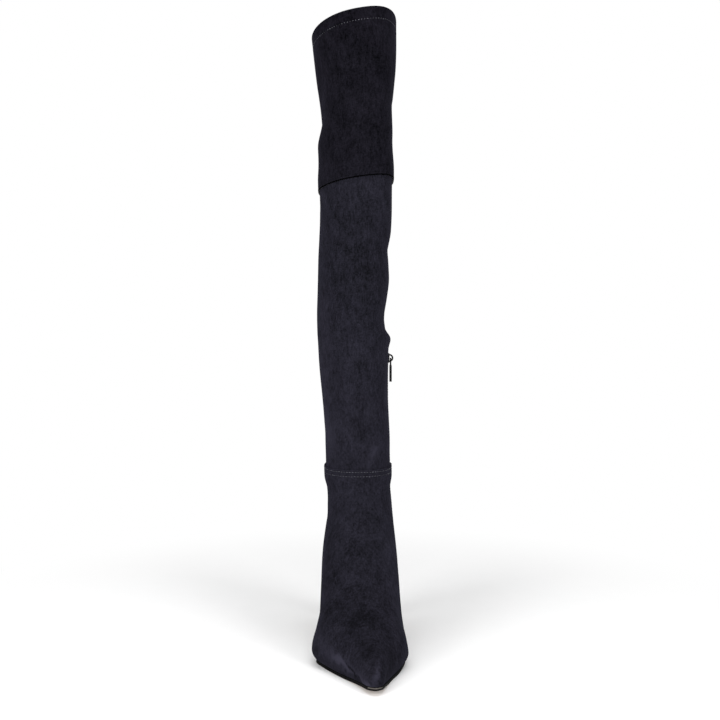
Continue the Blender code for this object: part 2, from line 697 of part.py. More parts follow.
def make_slider(material):
    """The slider: a tapered body over the chain, and a bridge that the pull tab hangs in."""
    seat = slider_seat()
    top, half = 0.5 * SLIDER_LENGTH, 0.5 * SLIDER_WIDTH
    outline = (
        (-half + SLIDER_TAPER, -top), (half - SLIDER_TAPER, -top), (half, 0.35 * top),
        (half - 0.5 * SLIDER_TAPER, top), (-half + 0.5 * SLIDER_TAPER, top), (-half, 0.35 * top),
    )
    body = closed_loft("zip_slider", prism(seat, outline, SLIDER_LIFT, SLIDER_LIFT + SLIDER_THICKNESS), material)
    face = SLIDER_LIFT + SLIDER_THICKNESS
    turn = np.linspace(0, np.pi, 13)
    reach, rise = 0.5 * BRIDGE_LENGTH, BRIDGE_RISE
    outer = [(reach * np.cos(a), face + rise * np.sin(a)) for a in turn]
    inner = [
        ((reach - BRIDGE_THICKNESS) * np.cos(a), face + (rise - BRIDGE_THICKNESS) * np.sin(a)) for a in turn
    ]
    sunk = face - BRIDGE_SINK
    arch = [(reach, sunk)] + outer + [(-reach, sunk), (BRIDGE_THICKNESS - reach, sunk)]
    arch += inner[::-1] + [(reach - BRIDGE_THICKNESS, sunk)]
    rings = [
        np.array([placed(seat, side * 0.5 * BRIDGE_WIDTH, up, out) for up, out in arch]) for side in (-1, 1)
    ]
    bridge = closed_loft("slider_bridge", rings, material)
    bridge.hide_render = True
    bridge.display_type = "WIRE"
    join = body.modifiers.new("Bridge", "BOOLEAN")
    join.operation = "UNION"
    join.object = bridge
    return body


def pivot_point():
    """The pull tab's axis: inside the bridge, a little below its middle."""
    return placed(slider_seat(), 0.0, -PIVOT_DROP, SLIDER_LIFT + SLIDER_THICKNESS + PIVOT_RISE)


def make_pull(material):
    """The pull tab, hanging from the bridge: a bar, an eye round the bridge's lower leg and a blade."""
    eye, blade, thick = 0.5 * PULL_EYE_WIDTH, 0.5 * PULL_BLADE_WIDTH, 0.5 * PULL_THICKNESS
    top, end = 0.5 * PULL_BAR, PULL_BAR * 0.5 - PULL_LENGTH
    shoulder = -PULL_EYE_REACH - PULL_BAR
    arc = np.linspace(0, np.pi, 9)
    tail = [(blade * np.cos(a), end + blade - blade * np.sin(a)) for a in arc]
    outline = [(eye, top), (-eye, top), (-eye, -PULL_EYE_REACH), (-blade, shoulder)]
    outline += tail[::-1] + [(blade, shoulder), (eye, -PULL_EYE_REACH)]
    pivot = pivot_point()
    rings = [np.array([(x, y, z) for y, z in outline]) for x in (-thick, thick)]
    pull = closed_loft("zip_pull", rings, material)
    pull.location = pivot
    hole_half = 0.5 * PULL_EYE_HOLE_WIDTH
    hole = [(hole_half, -top), (-hole_half, -top), (-hole_half, -PULL_EYE_REACH), (hole_half, -PULL_EYE_REACH)]
    cutter = closed_loft(
        "pull_eye_cutter", [np.array([(x, y, z) for y, z in hole]) for x in (-2 * thick, 2 * thick)], material
    )
    cutter.location = pivot
    cutter.hide_render = True
    cutter.display_type = "WIRE"
    cut(pull, cutter)
    bevel = pull.modifiers.new("Edges", "BEVEL")
    bevel.width = PULL_EDGE_BEVEL
    bevel.segments = 1
    bevel.limit_method = "ANGLE"
    return pull


def main():
    for thing in list(bpy.data.objects):
        bpy.data.objects.remove(thing)
    dark_suede = suede("suede", (0.016, 0.016, 0.024))
    thigh_suede = suede("thigh_suede", (0.010, 0.010, 0.014))
    sole_leather = plain_material("sole_leather", (0.012, 0.011, 0.011), 0.45, 0.0)
    lining = plain_material("lining", (0.020, 0.019, 0.021), 0.75, 0.0)
    tape = plain_material("zip_tape", (0.010, 0.010, 0.012), 0.80, 0.0)
    black_metal = plain_material("black_metal", (0.020, 0.020, 0.022), 0.35, 0.9)
    rubber = plain_material("tip_rubber", (0.012, 0.012, 0.012), 0.60, 0.0)
    cutter = slot_cutter()
    cut(make_upper(dark_suede), cutter)
    cut(make_shaft(dark_suede), cutter)
    make_cuff(thigh_suede)
    sheet_on_sole("outsole", SOLE_EDGE, -SOLE_THICKNESS, 0.0, sole_leather)
    sheet_on_sole("insole", -WALL - 2 * GAP, GAP, GAP + INSOLE_THICKNESS, lining)
    make_heel(dark_suede)
    make_heel_tip(rubber)
    make_zip(tape)
    make_slider(black_metal)
    make_pull(black_metal)


main()
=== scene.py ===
"""Looks of a black suede thigh high boot for the right foot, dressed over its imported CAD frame.

The frame is in metres. +Z is up, the toe points along -Y, and +X is the inner side of the leg. The outer
face of the whole boot is one function of tables of sections, the same as in the CAD source. Each wall is
built from fine rings of that face, with its laps, rounded edges and creases, and every stitch, tooth and
binding takes its place from it.
"""

import json

import bpy
import numpy as np
from bpy.props import FloatProperty, FloatVectorProperty, IntProperty, PointerProperty
from mathutils import Matrix, Vector
from mathutils.bvhtree import BVHTree

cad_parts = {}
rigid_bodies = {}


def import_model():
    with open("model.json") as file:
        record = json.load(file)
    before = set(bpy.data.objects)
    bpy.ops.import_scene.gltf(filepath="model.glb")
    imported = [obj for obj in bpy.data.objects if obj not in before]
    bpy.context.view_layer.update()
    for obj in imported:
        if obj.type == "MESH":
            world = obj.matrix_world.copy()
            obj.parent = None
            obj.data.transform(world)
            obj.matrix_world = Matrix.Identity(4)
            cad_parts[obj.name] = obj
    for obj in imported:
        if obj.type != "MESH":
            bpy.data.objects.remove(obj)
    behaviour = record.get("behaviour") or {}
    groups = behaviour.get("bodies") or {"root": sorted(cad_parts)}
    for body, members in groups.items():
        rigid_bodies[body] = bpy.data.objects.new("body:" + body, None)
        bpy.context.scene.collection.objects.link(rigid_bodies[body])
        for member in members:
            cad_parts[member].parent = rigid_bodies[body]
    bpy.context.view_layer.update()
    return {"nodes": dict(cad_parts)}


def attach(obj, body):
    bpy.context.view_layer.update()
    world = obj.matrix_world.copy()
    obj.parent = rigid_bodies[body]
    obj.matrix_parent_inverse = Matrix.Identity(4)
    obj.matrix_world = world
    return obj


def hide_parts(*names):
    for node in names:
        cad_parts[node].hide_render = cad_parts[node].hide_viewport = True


bl_info = {
    "name": "Thigh High Boot",
    "version": (1, 0, 0),
    "blender": (4, 5, 0),
    "location": "View3D > Sidebar > Boot",
    "description": "Dresses a suede thigh high boot over its CAD frame",
    "category": "Add Mesh",
}

for leftover in list(bpy.data.objects):
    bpy.data.objects.remove(leftover)
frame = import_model()

# Driving sizes of the last and the leg, as in the CAD source
FOOT_LENGTH = 0.242
BALL_WIDTH = 0.094
INSTEP_HEIGHT = 0.100
HEEL_HEIGHT = 0.085
TOE_SPRING = 0.005
NOSE_ROUNDING = 0.008
TOE_CAP_LENGTH = 0.026
HEEL_ROUNDING = 0.032
BOOT_HEIGHT = 0.663
SHAFT_WIDTH = 0.076
SHAFT_DEPTH = 0.120
ANKLE_AXIS_SETBACK = 0.058
FOOT_AXIS_SHIFT = 0.003
ANKLE_SEAM = 0.183
KNEE_SEAM = 0.491
SEAM_LAP = 0.011
LAP_RAMP = 0.006
ANKLE_LAP_FLARE = 0.014
KNEE_LAP_FLARE = 0.034
KNEE_SIDE_RISE = 0.0046
COLLAR_SIDE_RISE = 0.0059
COLLAR_BACK_DIP = 0.016
COLLAR_FRONT_RISE = 0.0020
WALL = 0.0018
GAP = 0.0003
SOLE_THICKNESS = 0.003
SOLE_EDGE = 0.0008
LEG_START = 0.020
HEEL_OVERHANG = 0.030
HEEL_SEAT_LENGTH = 0.054
HEEL_TIP_LENGTH = 0.014
HEEL_TIP_WIDTH = 0.013
HEEL_TIP_THICKNESS = 0.006
ZIP_BOTTOM = 0.100
ZIP_TOP = 0.308
ZIP_BOTTOM_Y = -0.018
ZIP_TOP_Y = -0.010
ZIP_SLOT_WIDTH = 0.0068
ZIP_TAPE_WIDTH = 0.022
ZIP_TAPE_THICKNESS = 0.0007
ZIP_TAPE_GAP = 0.0005
ZIP_TAPE_END = 0.005
SLIDER_BELOW_TOP = 0.009
SLIDER_LENGTH = 0.0108
SLIDER_WIDTH = 0.0082
SLIDER_TAPER = 0.0014
SLIDER_THICKNESS = 0.0015
SLIDER_LIFT = 0.0006
BRIDGE_LENGTH = 0.0076
BRIDGE_RISE = 0.0037
BRIDGE_THICKNESS = 0.0011
BRIDGE_WIDTH = 0.0020
BRIDGE_SINK = 0.0004
BRIDGE_SWELL = 0.0007
PIVOT_RISE = 0.0013
PIVOT_DROP = 0.0006
PULL_LENGTH = 0.0270
PULL_EYE_WIDTH = 0.0056
PULL_BLADE_WIDTH = 0.0046
PULL_THICKNESS = 0.0016
PULL_BAR = 0.0016
PULL_EYE_HOLE_WIDTH = 0.0032
PULL_EYE_REACH = 0.0050

HEEL_BACK_Y = HEEL_OVERHANG
TOE_Y = HEEL_BACK_Y - FOOT_LENGTH
ANKLE_Y = HEEL_BACK_Y - ANKLE_AXIS_SETBACK
SLIDER_HEIGHT = ZIP_TOP - SLIDER_BELOW_TOP
LEG_SQUARENESS = 2.3
HEEL_SQUARENESS = 2.4

# The sole's line. along: share of FOOT_LENGTH from the heel's back. rise: share of the heel's height
# over the sole. spring: share of TOE_SPRING.
SOLE_LINE = (
    # along, rise, spring
    (0.000, 1.000, 0.00),
    (0.100, 0.965, 0.00),
    (0.205, 0.880, 0.00),
    (0.290, 0.755, 0.00),
    (0.370, 0.575, 0.00),
    (0.455, 0.355, 0.00),
    (0.525, 0.180, 0.00),
    (0.585, 0.060, 0.00),
    (0.635, 0.000, 0.00),
    (0.800, 0.000, 0.00),
    (0.850, 0.000, 0.08),
    (0.900, 0.000, 0.28),
    (0.950, 0.000, 0.60),
    (1.000, 0.000, 1.00),
)

# The foot's sections. along: share of FOOT_LENGTH. Sides: shares of BALL_WIDTH from the foot's axis,
# outer side negative, at the feather edge and at the widest level. wide_up and ridge: shares of
# INSTEP_HEIGHT above the sole. ridge_in: share of BALL_WIDTH.
FOOT_SECTIONS = (
    # along, feather_out, feather_in, wide_out, wide_in, wide_up, ridge, ridge_in, squareness
    (0.000, -0.270, 0.260, -0.300, 0.290, 0.26, 0.75, 0.00, 2.1),
    (0.125, -0.285, 0.275, -0.330, 0.315, 0.26, 0.82, 0.00, 2.1),
    (0.205, -0.280, 0.255, -0.358, 0.355, 0.27, 0.98, 0.00, 2.1),
    (0.310, -0.262, 0.215, -0.410, 0.398, 0.28, 1.12, 0.01, 2.0),
    (0.370, -0.258, 0.195, -0.430, 0.418, 0.32, 1.17, 0.02, 2.0),
    (0.463, -0.285, 0.215, -0.434, 0.438, 0.26, 1.13, 0.03, 1.9),
    (0.535, -0.330, 0.270, -0.440, 0.454, 0.18, 0.97, 0.04, 1.8),
    (0.597, -0.390, 0.350, -0.482, 0.480, 0.13, 0.83, 0.05, 1.65),
    (0.648, -0.454, 0.468, -0.508, 0.500, 0.11, 0.71, 0.06, 1.7),
    (0.698, -0.392, 0.446, -0.486, 0.504, 0.11, 0.60, 0.07, 1.7),
    (0.760, -0.288, 0.404, -0.350, 0.448, 0.11, 0.50, 0.08, 1.8),
    (0.840, -0.134, 0.320, -0.174, 0.352, 0.10, 0.38, 0.10, 1.9),
    (0.888, -0.043, 0.281, -0.078, 0.304, 0.10, 0.32, 0.115, 1.9),
    (0.948, 0.036, 0.234, 0.014, 0.250, 0.10, 0.25, 0.13, 2.0),
    (1.000, 0.088, 0.202, 0.068, 0.218, 0.09, 0.20, 0.14, 2.0),
)

# The leg's sections. level: share of the height from the heel seat to the collar. Sides: shares of
# SHAFT_WIDTH. front and back: shares of SHAFT_DEPTH from the ankle's axis. twist: share of SHAFT_WIDTH.
LEG_SECTIONS = (
    # level, outer, inner, front, back, twist
    (-0.02, 0.330, 0.330, 0.260, 0.440, 0.00),
    (0.03, 0.362, 0.370, 0.320, 0.470, 0.00),
    (0.07, 0.402, 0.408, 0.350, 0.474, 0.00),
    (0.10, 0.440, 0.426, 0.372, 0.456, 0.00),
    (0.14, 0.488, 0.434, 0.385, 0.442, 0.00),
    (0.21, 0.502, 0.436, 0.395, 0.465, 0.02),
    (0.30, 0.546, 0.408, 0.412, 0.500, 0.05),
    (0.385, 0.608, 0.410, 0.415, 0.550, 0.09),
    (0.407, 0.618, 0.437, 0.415, 0.560, 0.09),
    (0.428, 0.626, 0.366, 0.415, 0.565, 0.10),
    (0.455, 0.628, 0.363, 0.413, 0.570, 0.10),
    (0.483, 0.627, 0.388, 0.412, 0.572, 0.11),
    (0.522, 0.622, 0.420, 0.410, 0.572, 0.12),
    (0.57, 0.612, 0.412, 0.404, 0.568, 0.12),
    (0.61, 0.598, 0.450, 0.400, 0.560, 0.13),
    (0.66, 0.585, 0.464, 0.402, 0.545, 0.14),
    (0.74, 0.592, 0.464, 0.418, 0.540, 0.15),
    (0.785, 0.612, 0.470, 0.430, 0.545, 0.15),
    (0.828, 0.560, 0.458, 0.437, 0.550, 0.15),
    (0.91, 0.630, 0.516, 0.460, 0.575, 0.12),
    (1.00, 0.708, 0.530, 0.485, 0.610, 0.10),
)

# The heel's curve behind. up: share of INSTEP_HEIGHT above the seat. drawn_in: share of HEEL_ROUNDING.
HEEL_CURVE = (
    # up, drawn_in
    (0.00, 0.07),
    (0.10, 0.02),
    (0.22, 0.00),
    (0.36, 0.08),
    (0.52, 0.26),
    (0.70, 0.55),
    (1.00, 1.00),
)

# The fillet between the foot's form and the leg's. along: share of FOOT_LENGTH. fillet: share of
# INSTEP_HEIGHT.
FILLETS = (
    # along, fillet
    (0.00, 0.015),
    (0.03, 0.015),
    (0.15, 0.180),
    (0.24, 0.180),
    (0.49, 0.260),
)

# The heel's sections. down: share of the way from the seat to the tip. half_width: share of the width
# at the seat. back and front: shares of HEEL_SEAT_LENGTH, from the tip's centre.
HEEL_SECTIONS = (
    # down, half_width, back, front
    (0.00, 0.960, 0.530, -0.460),
    (0.05, 0.880, 0.538, -0.390),
    (0.10, 0.790, 0.538, -0.325),
    (0.16, 0.680, 0.525, -0.262),
    (0.22, 0.580, 0.500, -0.218),
    (0.30, 0.480, 0.450, -0.180),
    (0.38, 0.412, 0.395, -0.158),
    (0.48, 0.355, 0.328, -0.142),
    (0.58, 0.315, 0.270, -0.134),
    (0.70, 0.282, 0.213, -0.130),
    (0.82, 0.260, 0.170, -0.129),
    (0.92, 0.249, 0.145, -0.129),
    (1.00, 0.247, 0.130, -0.130),
)

# Creases in the suede. around: share of half the girth, 0 at the front, inner side positive. up: share of
# BOOT_HEIGHT. Widths and depths in millimetres; a negative depth is a ridge.
CREASES = (
    # around, up, to around, to up, width, depth
    (-0.62, 0.852, -0.36, 0.862, 6.0, 1.2),
    (-0.45, 0.868, -0.30, 0.945, 5.0, 0.7),
    (-0.30, 0.850, -0.22, 0.930, 5.0, -0.5),
    (0.58, 0.872, 0.34, 0.858, 6.0, 0.9),
    (0.20, 0.955, 0.26, 0.890, 6.0, 0.5),
    (-0.55, 0.712, -0.20, 0.728, 7.0, 0.7),
    (0.56, 0.620, 0.28, 0.628, 7.0, 0.9),
    (0.55, 0.512, 0.22, 0.522, 7.0, 0.9),
    (0.52, 0.482, 0.26, 0.476, 5.0, -0.6),
    (-0.50, 0.560, -0.24, 0.566, 9.0, 0.5),
    (-0.52, 0.332, -0.18, 0.320, 8.0, 0.6),
    (0.50, 0.300, 0.20, 0.312, 8.0, 0.6),
    (-0.56, 0.196, -0.16, 0.212, 6.5, 1.7),
    (0.52, 0.204, 0.20, 0.216, 7.0, 0.8),
    (-0.30, 0.236, 0.10, 0.244, 6.0, 0.6),
    (0.95, 0.235, 0.60, 0.222, 7.0, 1.0),
    (-0.95, 0.238, -0.60, 0.226, 7.0, 1.0),
    (-0.085, 0.042, -0.030, 0.030, 4.5, 0.9),
    (-0.180, 0.046, -0.110, 0.052, 7.0, -0.5),
    (0.080, 0.060, 0.140, 0.048, 7.0, 0.5),
    (-0.16, 0.085, 0.16, 0.085, 9.0, 0.5),
)

# Painted light and shade on the front of the boot: lighter patches where the lamps and the suede's sheen
# fall, darker ones where creases and the middle of the front lie in shade. Places and reaches are in metres,
# on the front of the boot; lift is how far the colour is painted lighter, negative darker.
PAINTED_LIGHT_PATCHES = (
    # x, z, turn in degrees, reach across, reach along, lift
    (-0.0345, 0.592, 8, 0.0026, 0.0280, 0.30),
    (-0.0045, 0.503, 20, 0.0090, 0.0080, 0.30),
    (-0.0350, 0.300, 0, 0.0070, 0.0750, 0.26),
    (-0.0020, 0.415, 0, 0.0260, 0.0520, -0.22),
    (0.0000, 0.225, 0, 0.0320, 0.0750, 0.16),
    (0.0040, 0.240, 0, 0.0075, 0.0480, -0.24),
    (0.0195, 0.203, 25, 0.0055, 0.0100, 0.40),
    (-0.0290, 0.215, -10, 0.0100, 0.0320, 0.34),
    (-0.0240, 0.078, 8, 0.0090, 0.0280, -0.10),
    (0.0040, 0.088, 0, 0.0170, 0.0400, -0.18),
    (0.0340, 0.090, -10, 0.0060, 0.0400, 0.26),
    (0.0000, 0.046, 0, 0.0270, 0.0200, -0.26),
    (-0.0400, 0.030, -10, 0.0050, 0.0120, 0.26),
    (-0.0110, 0.0150, -72, 0.0060, 0.0210, 0.76),
    (-0.0020, 0.0115, -50, 0.0022, 0.0075, -1.30),
    (0.0107, 0.0078, -80, 0.0024, 0.0080, 0.56),
    (0.0185, 0.0180, 10, 0.0024, 0.0065, 0.55),
    (0.0310, 0.0170, 40, 0.0080, 0.0140, -0.36),
)

# Fineness of the walls
POINTS_PER_SIDE = 109
RING_STEP = 0.0022
EDGE_RINGS = 5
FOOT_RINGS = 64
TAPE_COLUMNS = 15
TAPE_ROWS = 80
SHARP_ANGLE = np.radians(50)
MILLIMETRE = 0.001
WAVE_HEIGHT = 0.00022

# A ray from this far off a wall finds the face that a stitch lies on, unless it turns away
RAY_REACH = 0.004
LEAST_FACING = 0.6

# Stitches: share of the thread's width that they sink in, share of the length that the short ones have,
# and the turn of the hem's and the ankle's on the face, in radians
STITCH_SINK = 0.15
SHORT_STITCH = 0.8
STITCH_UNEVENNESS = 0.10
HEM_STITCH_TURN = 1.1
ANKLE_STITCH_TURN = 0.15

# The bands of the sole's section, from below, painted pale at the toe tip as a painted highlight on the
# sole's rim
TOE_HIGHLIGHT_BANDS = (5, 6)

# The suede's mottle: shares of its parts, the last being the painted light and shade of given places, the
# range of it that runs from the dark colour to the light, and the scale of the nap up the leg, as a share of
# its scale across
PATCH_SHARE, STREAK_SHARE, FIBRE_SHARE, GRAIN_SHARE, PAINTED_LIGHT_SHARE = 0.24, 0.30, 0.32, 0.26, 0.26
MOTTLE_RANGE = (0.42, 0.70)
NAP_STRETCH = 0.45
NAP_ROUGHNESS = (0.98, 0.86)
NAP_BUMP = 0.22
CHANNEL_BUMP = 0.45

# Patches of painted light and shade: from where they take the painted highlight colour, how much, how bright
# that colour is, how ragged a patch's edge is, and how far round the side it shows
HIGHLIGHT_FROM, HIGHLIGHT_TO, HIGHLIGHT_GAIN = (0.35, 1.0), (0.0, 0.9), 2.2
RAGGED_EDGE = 0.014
FRONT_LIMIT = 0.15

# Half the spread of a hard finish's roughness
GLOSS_SPREAD = 0.12

# Stitches beside the zip: how far they pass its ends, and their distance from the ankle seam
ZIP_ROW_PAST_END = 0.006
ZIP_ROW_OFF_SEAM = 0.0016

# The zip's teeth and stops: length along the zip, width across and thickness. They lie this far off the
# zip's middle and below the face, and stop this far from its ends.
TOOTH_SIZE, TOOTH_ACROSS, TOOTH_DEPTH, TOOTH_END_GAP = (0.0013, 0.0034, 0.0015), 0.00095, 0.0008, 0.0012
STOP_SIZE, STOP_ACROSS, STOP_DEPTH = (0.0022, 0.0040, 0.0018), 0.0013, 0.0006
TOP_STOP_DROP, BOTTOM_STOP_RISE, STOP_LINE = 0.0016, 0.0010, 0.0006

# The ridges that the teeth's cords raise in the tape: height, place off the middle and width
CORD_RISE, CORD_ACROSS, CORD_WIDTH = 0.0005, 0.0031, 0.0008

# The slider's outline from its tail up: share of half its length, and share of SLIDER_TAPER drawn in
SLIDER_OUTLINE = ((-1, 1.0), (-0.3, 0.5), (0.35, 0.0), (0.8, 0.15), (1, 0.5))
SLIDER_BEVEL, BRIDGE_BEVEL = 0.00045, 0.00025

# The pull tab: its rounded rim, its shoulders' radius and drop, its neck, and its hole's corners
PULL_EDGE, PULL_SHOULDER, PULL_SHOULDER_DROP = 0.0003, 0.0012, 0.001
PULL_NECK_LENGTH, PULL_HOLE_CORNER = 0.006, 0.0007

# The rolled edge beside the zip: how far it stands back from the slot, and how far it sinks in
BINDING_BACK, BINDING_SINK = 0.0002, 0.0003

# The stage, in metres. The floor glows white between these distances from the boot.
FLOOR_REACH, FLOOR_STEPS = 4.0, 24
FLOOR_GLOW_RANGE = (0.16, 0.55)
WORLD_SHINE = 0.22
LENS_RISE = -0.011
BOOT_MIDDLE = (0.0, -0.03, 0.33)
SOFTBOXES = (
    # name, place, what it aims at, width and height
    ("left_softbox", (-1.35, -1.45, 0.75), BOOT_MIDDLE, (1.0, 1.4)),
    ("right_softbox", (1.35, -1.4, 0.75), BOOT_MIDDLE, (0.8, 1.4)),
    ("front_softbox", (0.0, -2.2, 1.3), BOOT_MIDDLE, (1.6, 1.0)),
    ("top_softbox", (0.0, -0.35, 1.9), (0.0, -0.1, 0.0), (1.6, 1.6)),
)


def curve_through(rows, column):
    """A smooth function of the tables' first column, with no overshoot between its rows."""
    x = np.array([row[0] for row in rows])
    y = np.array([row[column] for row in rows])
    h = np.diff(x)
    slope = np.diff(y) / h
    tangent = np.concatenate(([slope[0]], np.zeros(len(x) - 2), [slope[-1]]))
    for i in range(1, len(x) - 1):
        before, after = slope[i - 1], slope[i]
        if before * after > 0:
            near, far = 2 * h[i] + h[i - 1], h[i] + 2 * h[i - 1]
            tangent[i] = (near + far) / (near / before + far / after)

    def value(at):
        at = np.clip(at, x[0], x[-1])
        i = np.clip(np.searchsorted(x, at, side="right") - 1, 0, len(h) - 1)
        u = (at - x[i]) / h[i]
        return (
            y[i] * (1 + 2 * u) * (1 - u) ** 2
            + h[i] * tangent[i] * u * (1 - u) ** 2
            + y[i + 1] * u * u * (3 - 2 * u)
            + h[i] * tangent[i + 1] * u * u * (u - 1)
        )

    return value


sole_rise, sole_spring = (curve_through(SOLE_LINE, c) for c in (1, 2))
(feather_out, feather_in, wide_out, wide_in, wide_up, ridge_up, ridge_in, squareness) = (
    curve_through(FOOT_SECTIONS, c) for c in range(1, 9)
)
heel_drawn_in, fillet_share = curve_through(HEEL_CURVE, 1), curve_through(FILLETS, 1)
leg_out, leg_in, leg_front, leg_back, leg_twist = (curve_through(LEG_SECTIONS, c) for c in range(1, 6))
heel_half, heel_back, heel_front = (curve_through(HEEL_SECTIONS, c) for c in (1, 2, 3))


def smooth_step(low, high, at):
    """0 below low, 1 above high, and a soft change between them."""
    u = np.clip((at - low) / (high - low), 0, 1)
    return u * u * (3 - 2 * u)


def along_foot(y):
    """The share of the foot's length at y, 0 at the heel's back and 1 at the toe."""
    return (HEEL_BACK_Y - y) / FOOT_LENGTH


def sole_top(y):
    """Height of the outsole's upper face."""
    t = along_foot(y)
    return SOLE_THICKNESS + sole_rise(t) * (HEEL_HEIGHT - SOLE_THICKNESS) + sole_spring(t) * TOE_SPRING


def quarter_round(at):
    """1 up to 0, falling in a quarter ellipse to 0 at 1."""
    u = np.clip(at, 0, 1)
    return np.sqrt(np.clip(1 - u * u, 0, 1))


def round_end(y, length):
    """1 along the foot, falling to 0 in a quarter ellipse over this length at the toe's tip."""
    return quarter_round((TOE_Y + length - y) / length)


def superellipse(p, q, exponent):
    """Distance of the point (p, q) from the curve whose half widths are 1, in shares of its radius."""
    return (np.abs(p) ** exponent + np.abs(q) ** exponent) ** (1 / exponent)


def foot_middle(y, z):
    """x of the middle of the foot's section at this height."""
    t = along_foot(y)
    level = sole_top(y) + wide_up(t) * INSTEP_HEIGHT
    height = np.maximum((ridge_up(t) - wide_up(t)) * INSTEP_HEIGHT, 1e-4)
    rise = np.clip((z - level) / height, 0, 1)
    middle = 0.5 * (wide_out(t) + wide_in(t)) * (1 - rise**2) + ridge_in(t) * rise**2
    return FOOT_AXIS_SHIFT + middle * BALL_WIDTH


def heel_round(y, z):
    """1 along the foot, falling to 0 in a quarter ellipse at the heel's back, and the distance behind it."""
    up = (z - sole_top(y)) / INSTEP_HEIGHT
    back = HEEL_BACK_Y - heel_drawn_in(up) * HEEL_ROUNDING
    return quarter_round((y - back + HEEL_ROUNDING) / HEEL_ROUNDING), y - back


def foot_depth(x, y, z):
    """Distance outside the foot's form, negative inside it."""
    t = along_foot(y)
    round_nose, round_cap = round_end(y, NOSE_ROUNDING), round_end(y, TOE_CAP_LENGTH)
    round_heel, behind = heel_round(y, z)
    bottom = sole_top(y)
    level = bottom + wide_up(t) * INSTEP_HEIGHT * round_cap
    height = np.maximum((ridge_up(t) - wide_up(t)) * INSTEP_HEIGHT * round_cap, 1e-4)
    ends = round_nose * round_heel * BALL_WIDTH
    half = np.maximum(0.5 * (wide_in(t) - wide_out(t)) * ends, 1e-4)
    feather = np.maximum(0.5 * (feather_in(t) - feather_out(t)) * ends, 1e-4)
    feather_middle = FOOT_AXIS_SHIFT + 0.5 * (feather_in(t) + feather_out(t)) * BALL_WIDTH
    tuck = np.clip((level - z) / np.maximum(level - bottom, 1e-5), 0, 1) ** 2
    side = x - (foot_middle(y, z) * (1 - tuck) + feather_middle * tuck)
    half_here = half * (1 - tuck) + feather * tuck
    up = np.maximum(z - level, 0) / height
    radius = superellipse(side / half_here, up, squareness(t))
    reach = np.hypot(side, up * height) / np.maximum(radius, 1e-6)
    return np.maximum((radius - 1) * np.maximum(reach, 1e-4), np.maximum(TOE_Y - y, behind))


def leg_form(y, z):
    """The leg's section at (y, z): x of its middle, half its width, half its depth and y of its centre."""
    level = (z - HEEL_HEIGHT) / (BOOT_HEIGHT - HEEL_HEIGHT)
    half = 0.5 * (leg_in(level) + leg_out(level)) * SHAFT_WIDTH
    depth = 0.5 * (leg_front(level) + leg_back(level)) * SHAFT_DEPTH
    centre_y = ANKLE_Y + 0.5 * (leg_back(level) - leg_front(level)) * SHAFT_DEPTH
    forward = np.clip((centre_y - y) / depth, -1, 1)
    middle = 0.5 * (leg_in(level) - leg_out(level)) * SHAFT_WIDTH
    twist = leg_twist(level) * SHAFT_WIDTH * forward * np.abs(forward)
    return FOOT_AXIS_SHIFT + middle + twist, half, depth, centre_y


def leg_depth(x, y, z):
    """Distance outside the leg's form, negative inside it."""
    middle, half, depth, centre_y = leg_form(y, z)
    side, back = x - middle, y - centre_y
    radius = superellipse(side / half, back / depth, LEG_SQUARENESS)
    reach = np.hypot(side, back) / np.maximum(radius, 1e-6)
    return np.maximum((radius - 1) * np.maximum(reach, 1e-4), sole_top(y) + LEG_START - z)


def boot_depth(x, y, z):
    """Distance outside the boot's outer face: the foot and the leg, joined with a fillet at the instep."""
    foot, leg = foot_depth(x, y, z), leg_depth(x, y, z)
    fillet = fillet_share(along_foot(y)) * INSTEP_HEIGHT
    blend = np.maximum(fillet - np.abs(foot - leg), 0) / fillet
    return np.minimum(foot, leg) - 0.25 * fillet * blend * blend


def inside_x(y, z):
    """An x inside the boot at (y, z), or as near to its inside as there is."""
    foot, leg = foot_middle(y, z), leg_form(y, z)[0]
    return np.where(foot_depth(foot, y, z) < leg_depth(leg, y, z), foot, leg)


def halve(inner, outer, outside):
    """The place between inner and outer where outside(place) turns positive."""
    for _ in range(24):
        middle = 0.5 * (inner + outer)
        out = outside(middle) > 0
        outer = np.where(out, middle, outer)
        inner = np.where(out, inner, middle)
    return 0.5 * (inner + outer)


def side_x(y, z, side):
    """x of the outer face at (y, z), on the inner side of the leg (side 1) or the outer (side -1)."""
    start = inside_x(y, z)
    return halve(start, start + side * BALL_WIDTH, lambda x: boot_depth(x, y, z))


def lift(x, y, z):
    """How far the seams and the collar rise to the inner side and dip to the back, above the level z."""
    knee = np.clip((z - ANKLE_SEAM) / (KNEE_SEAM - ANKLE_SEAM), 0, 1)
    top = np.clip((z - KNEE_SEAM) / (BOOT_HEIGHT - KNEE_SEAM), 0, 1)
    slope = (knee * KNEE_SIDE_RISE + top * (COLLAR_SIDE_RISE - KNEE_SIDE_RISE)) / (0.5 * SHAFT_WIDTH)
    back = smooth_step(0, 1, (y - ANKLE_Y) / (0.6 * SHAFT_DEPTH))
    front = smooth_step(0, 1, (ANKLE_Y - y) / (0.5 * SHAFT_DEPTH))
    curve = COLLAR_FRONT_RISE * front - COLLAR_BACK_DIP * back
    return slope * (x - FOOT_AXIS_SHIFT) + top * curve


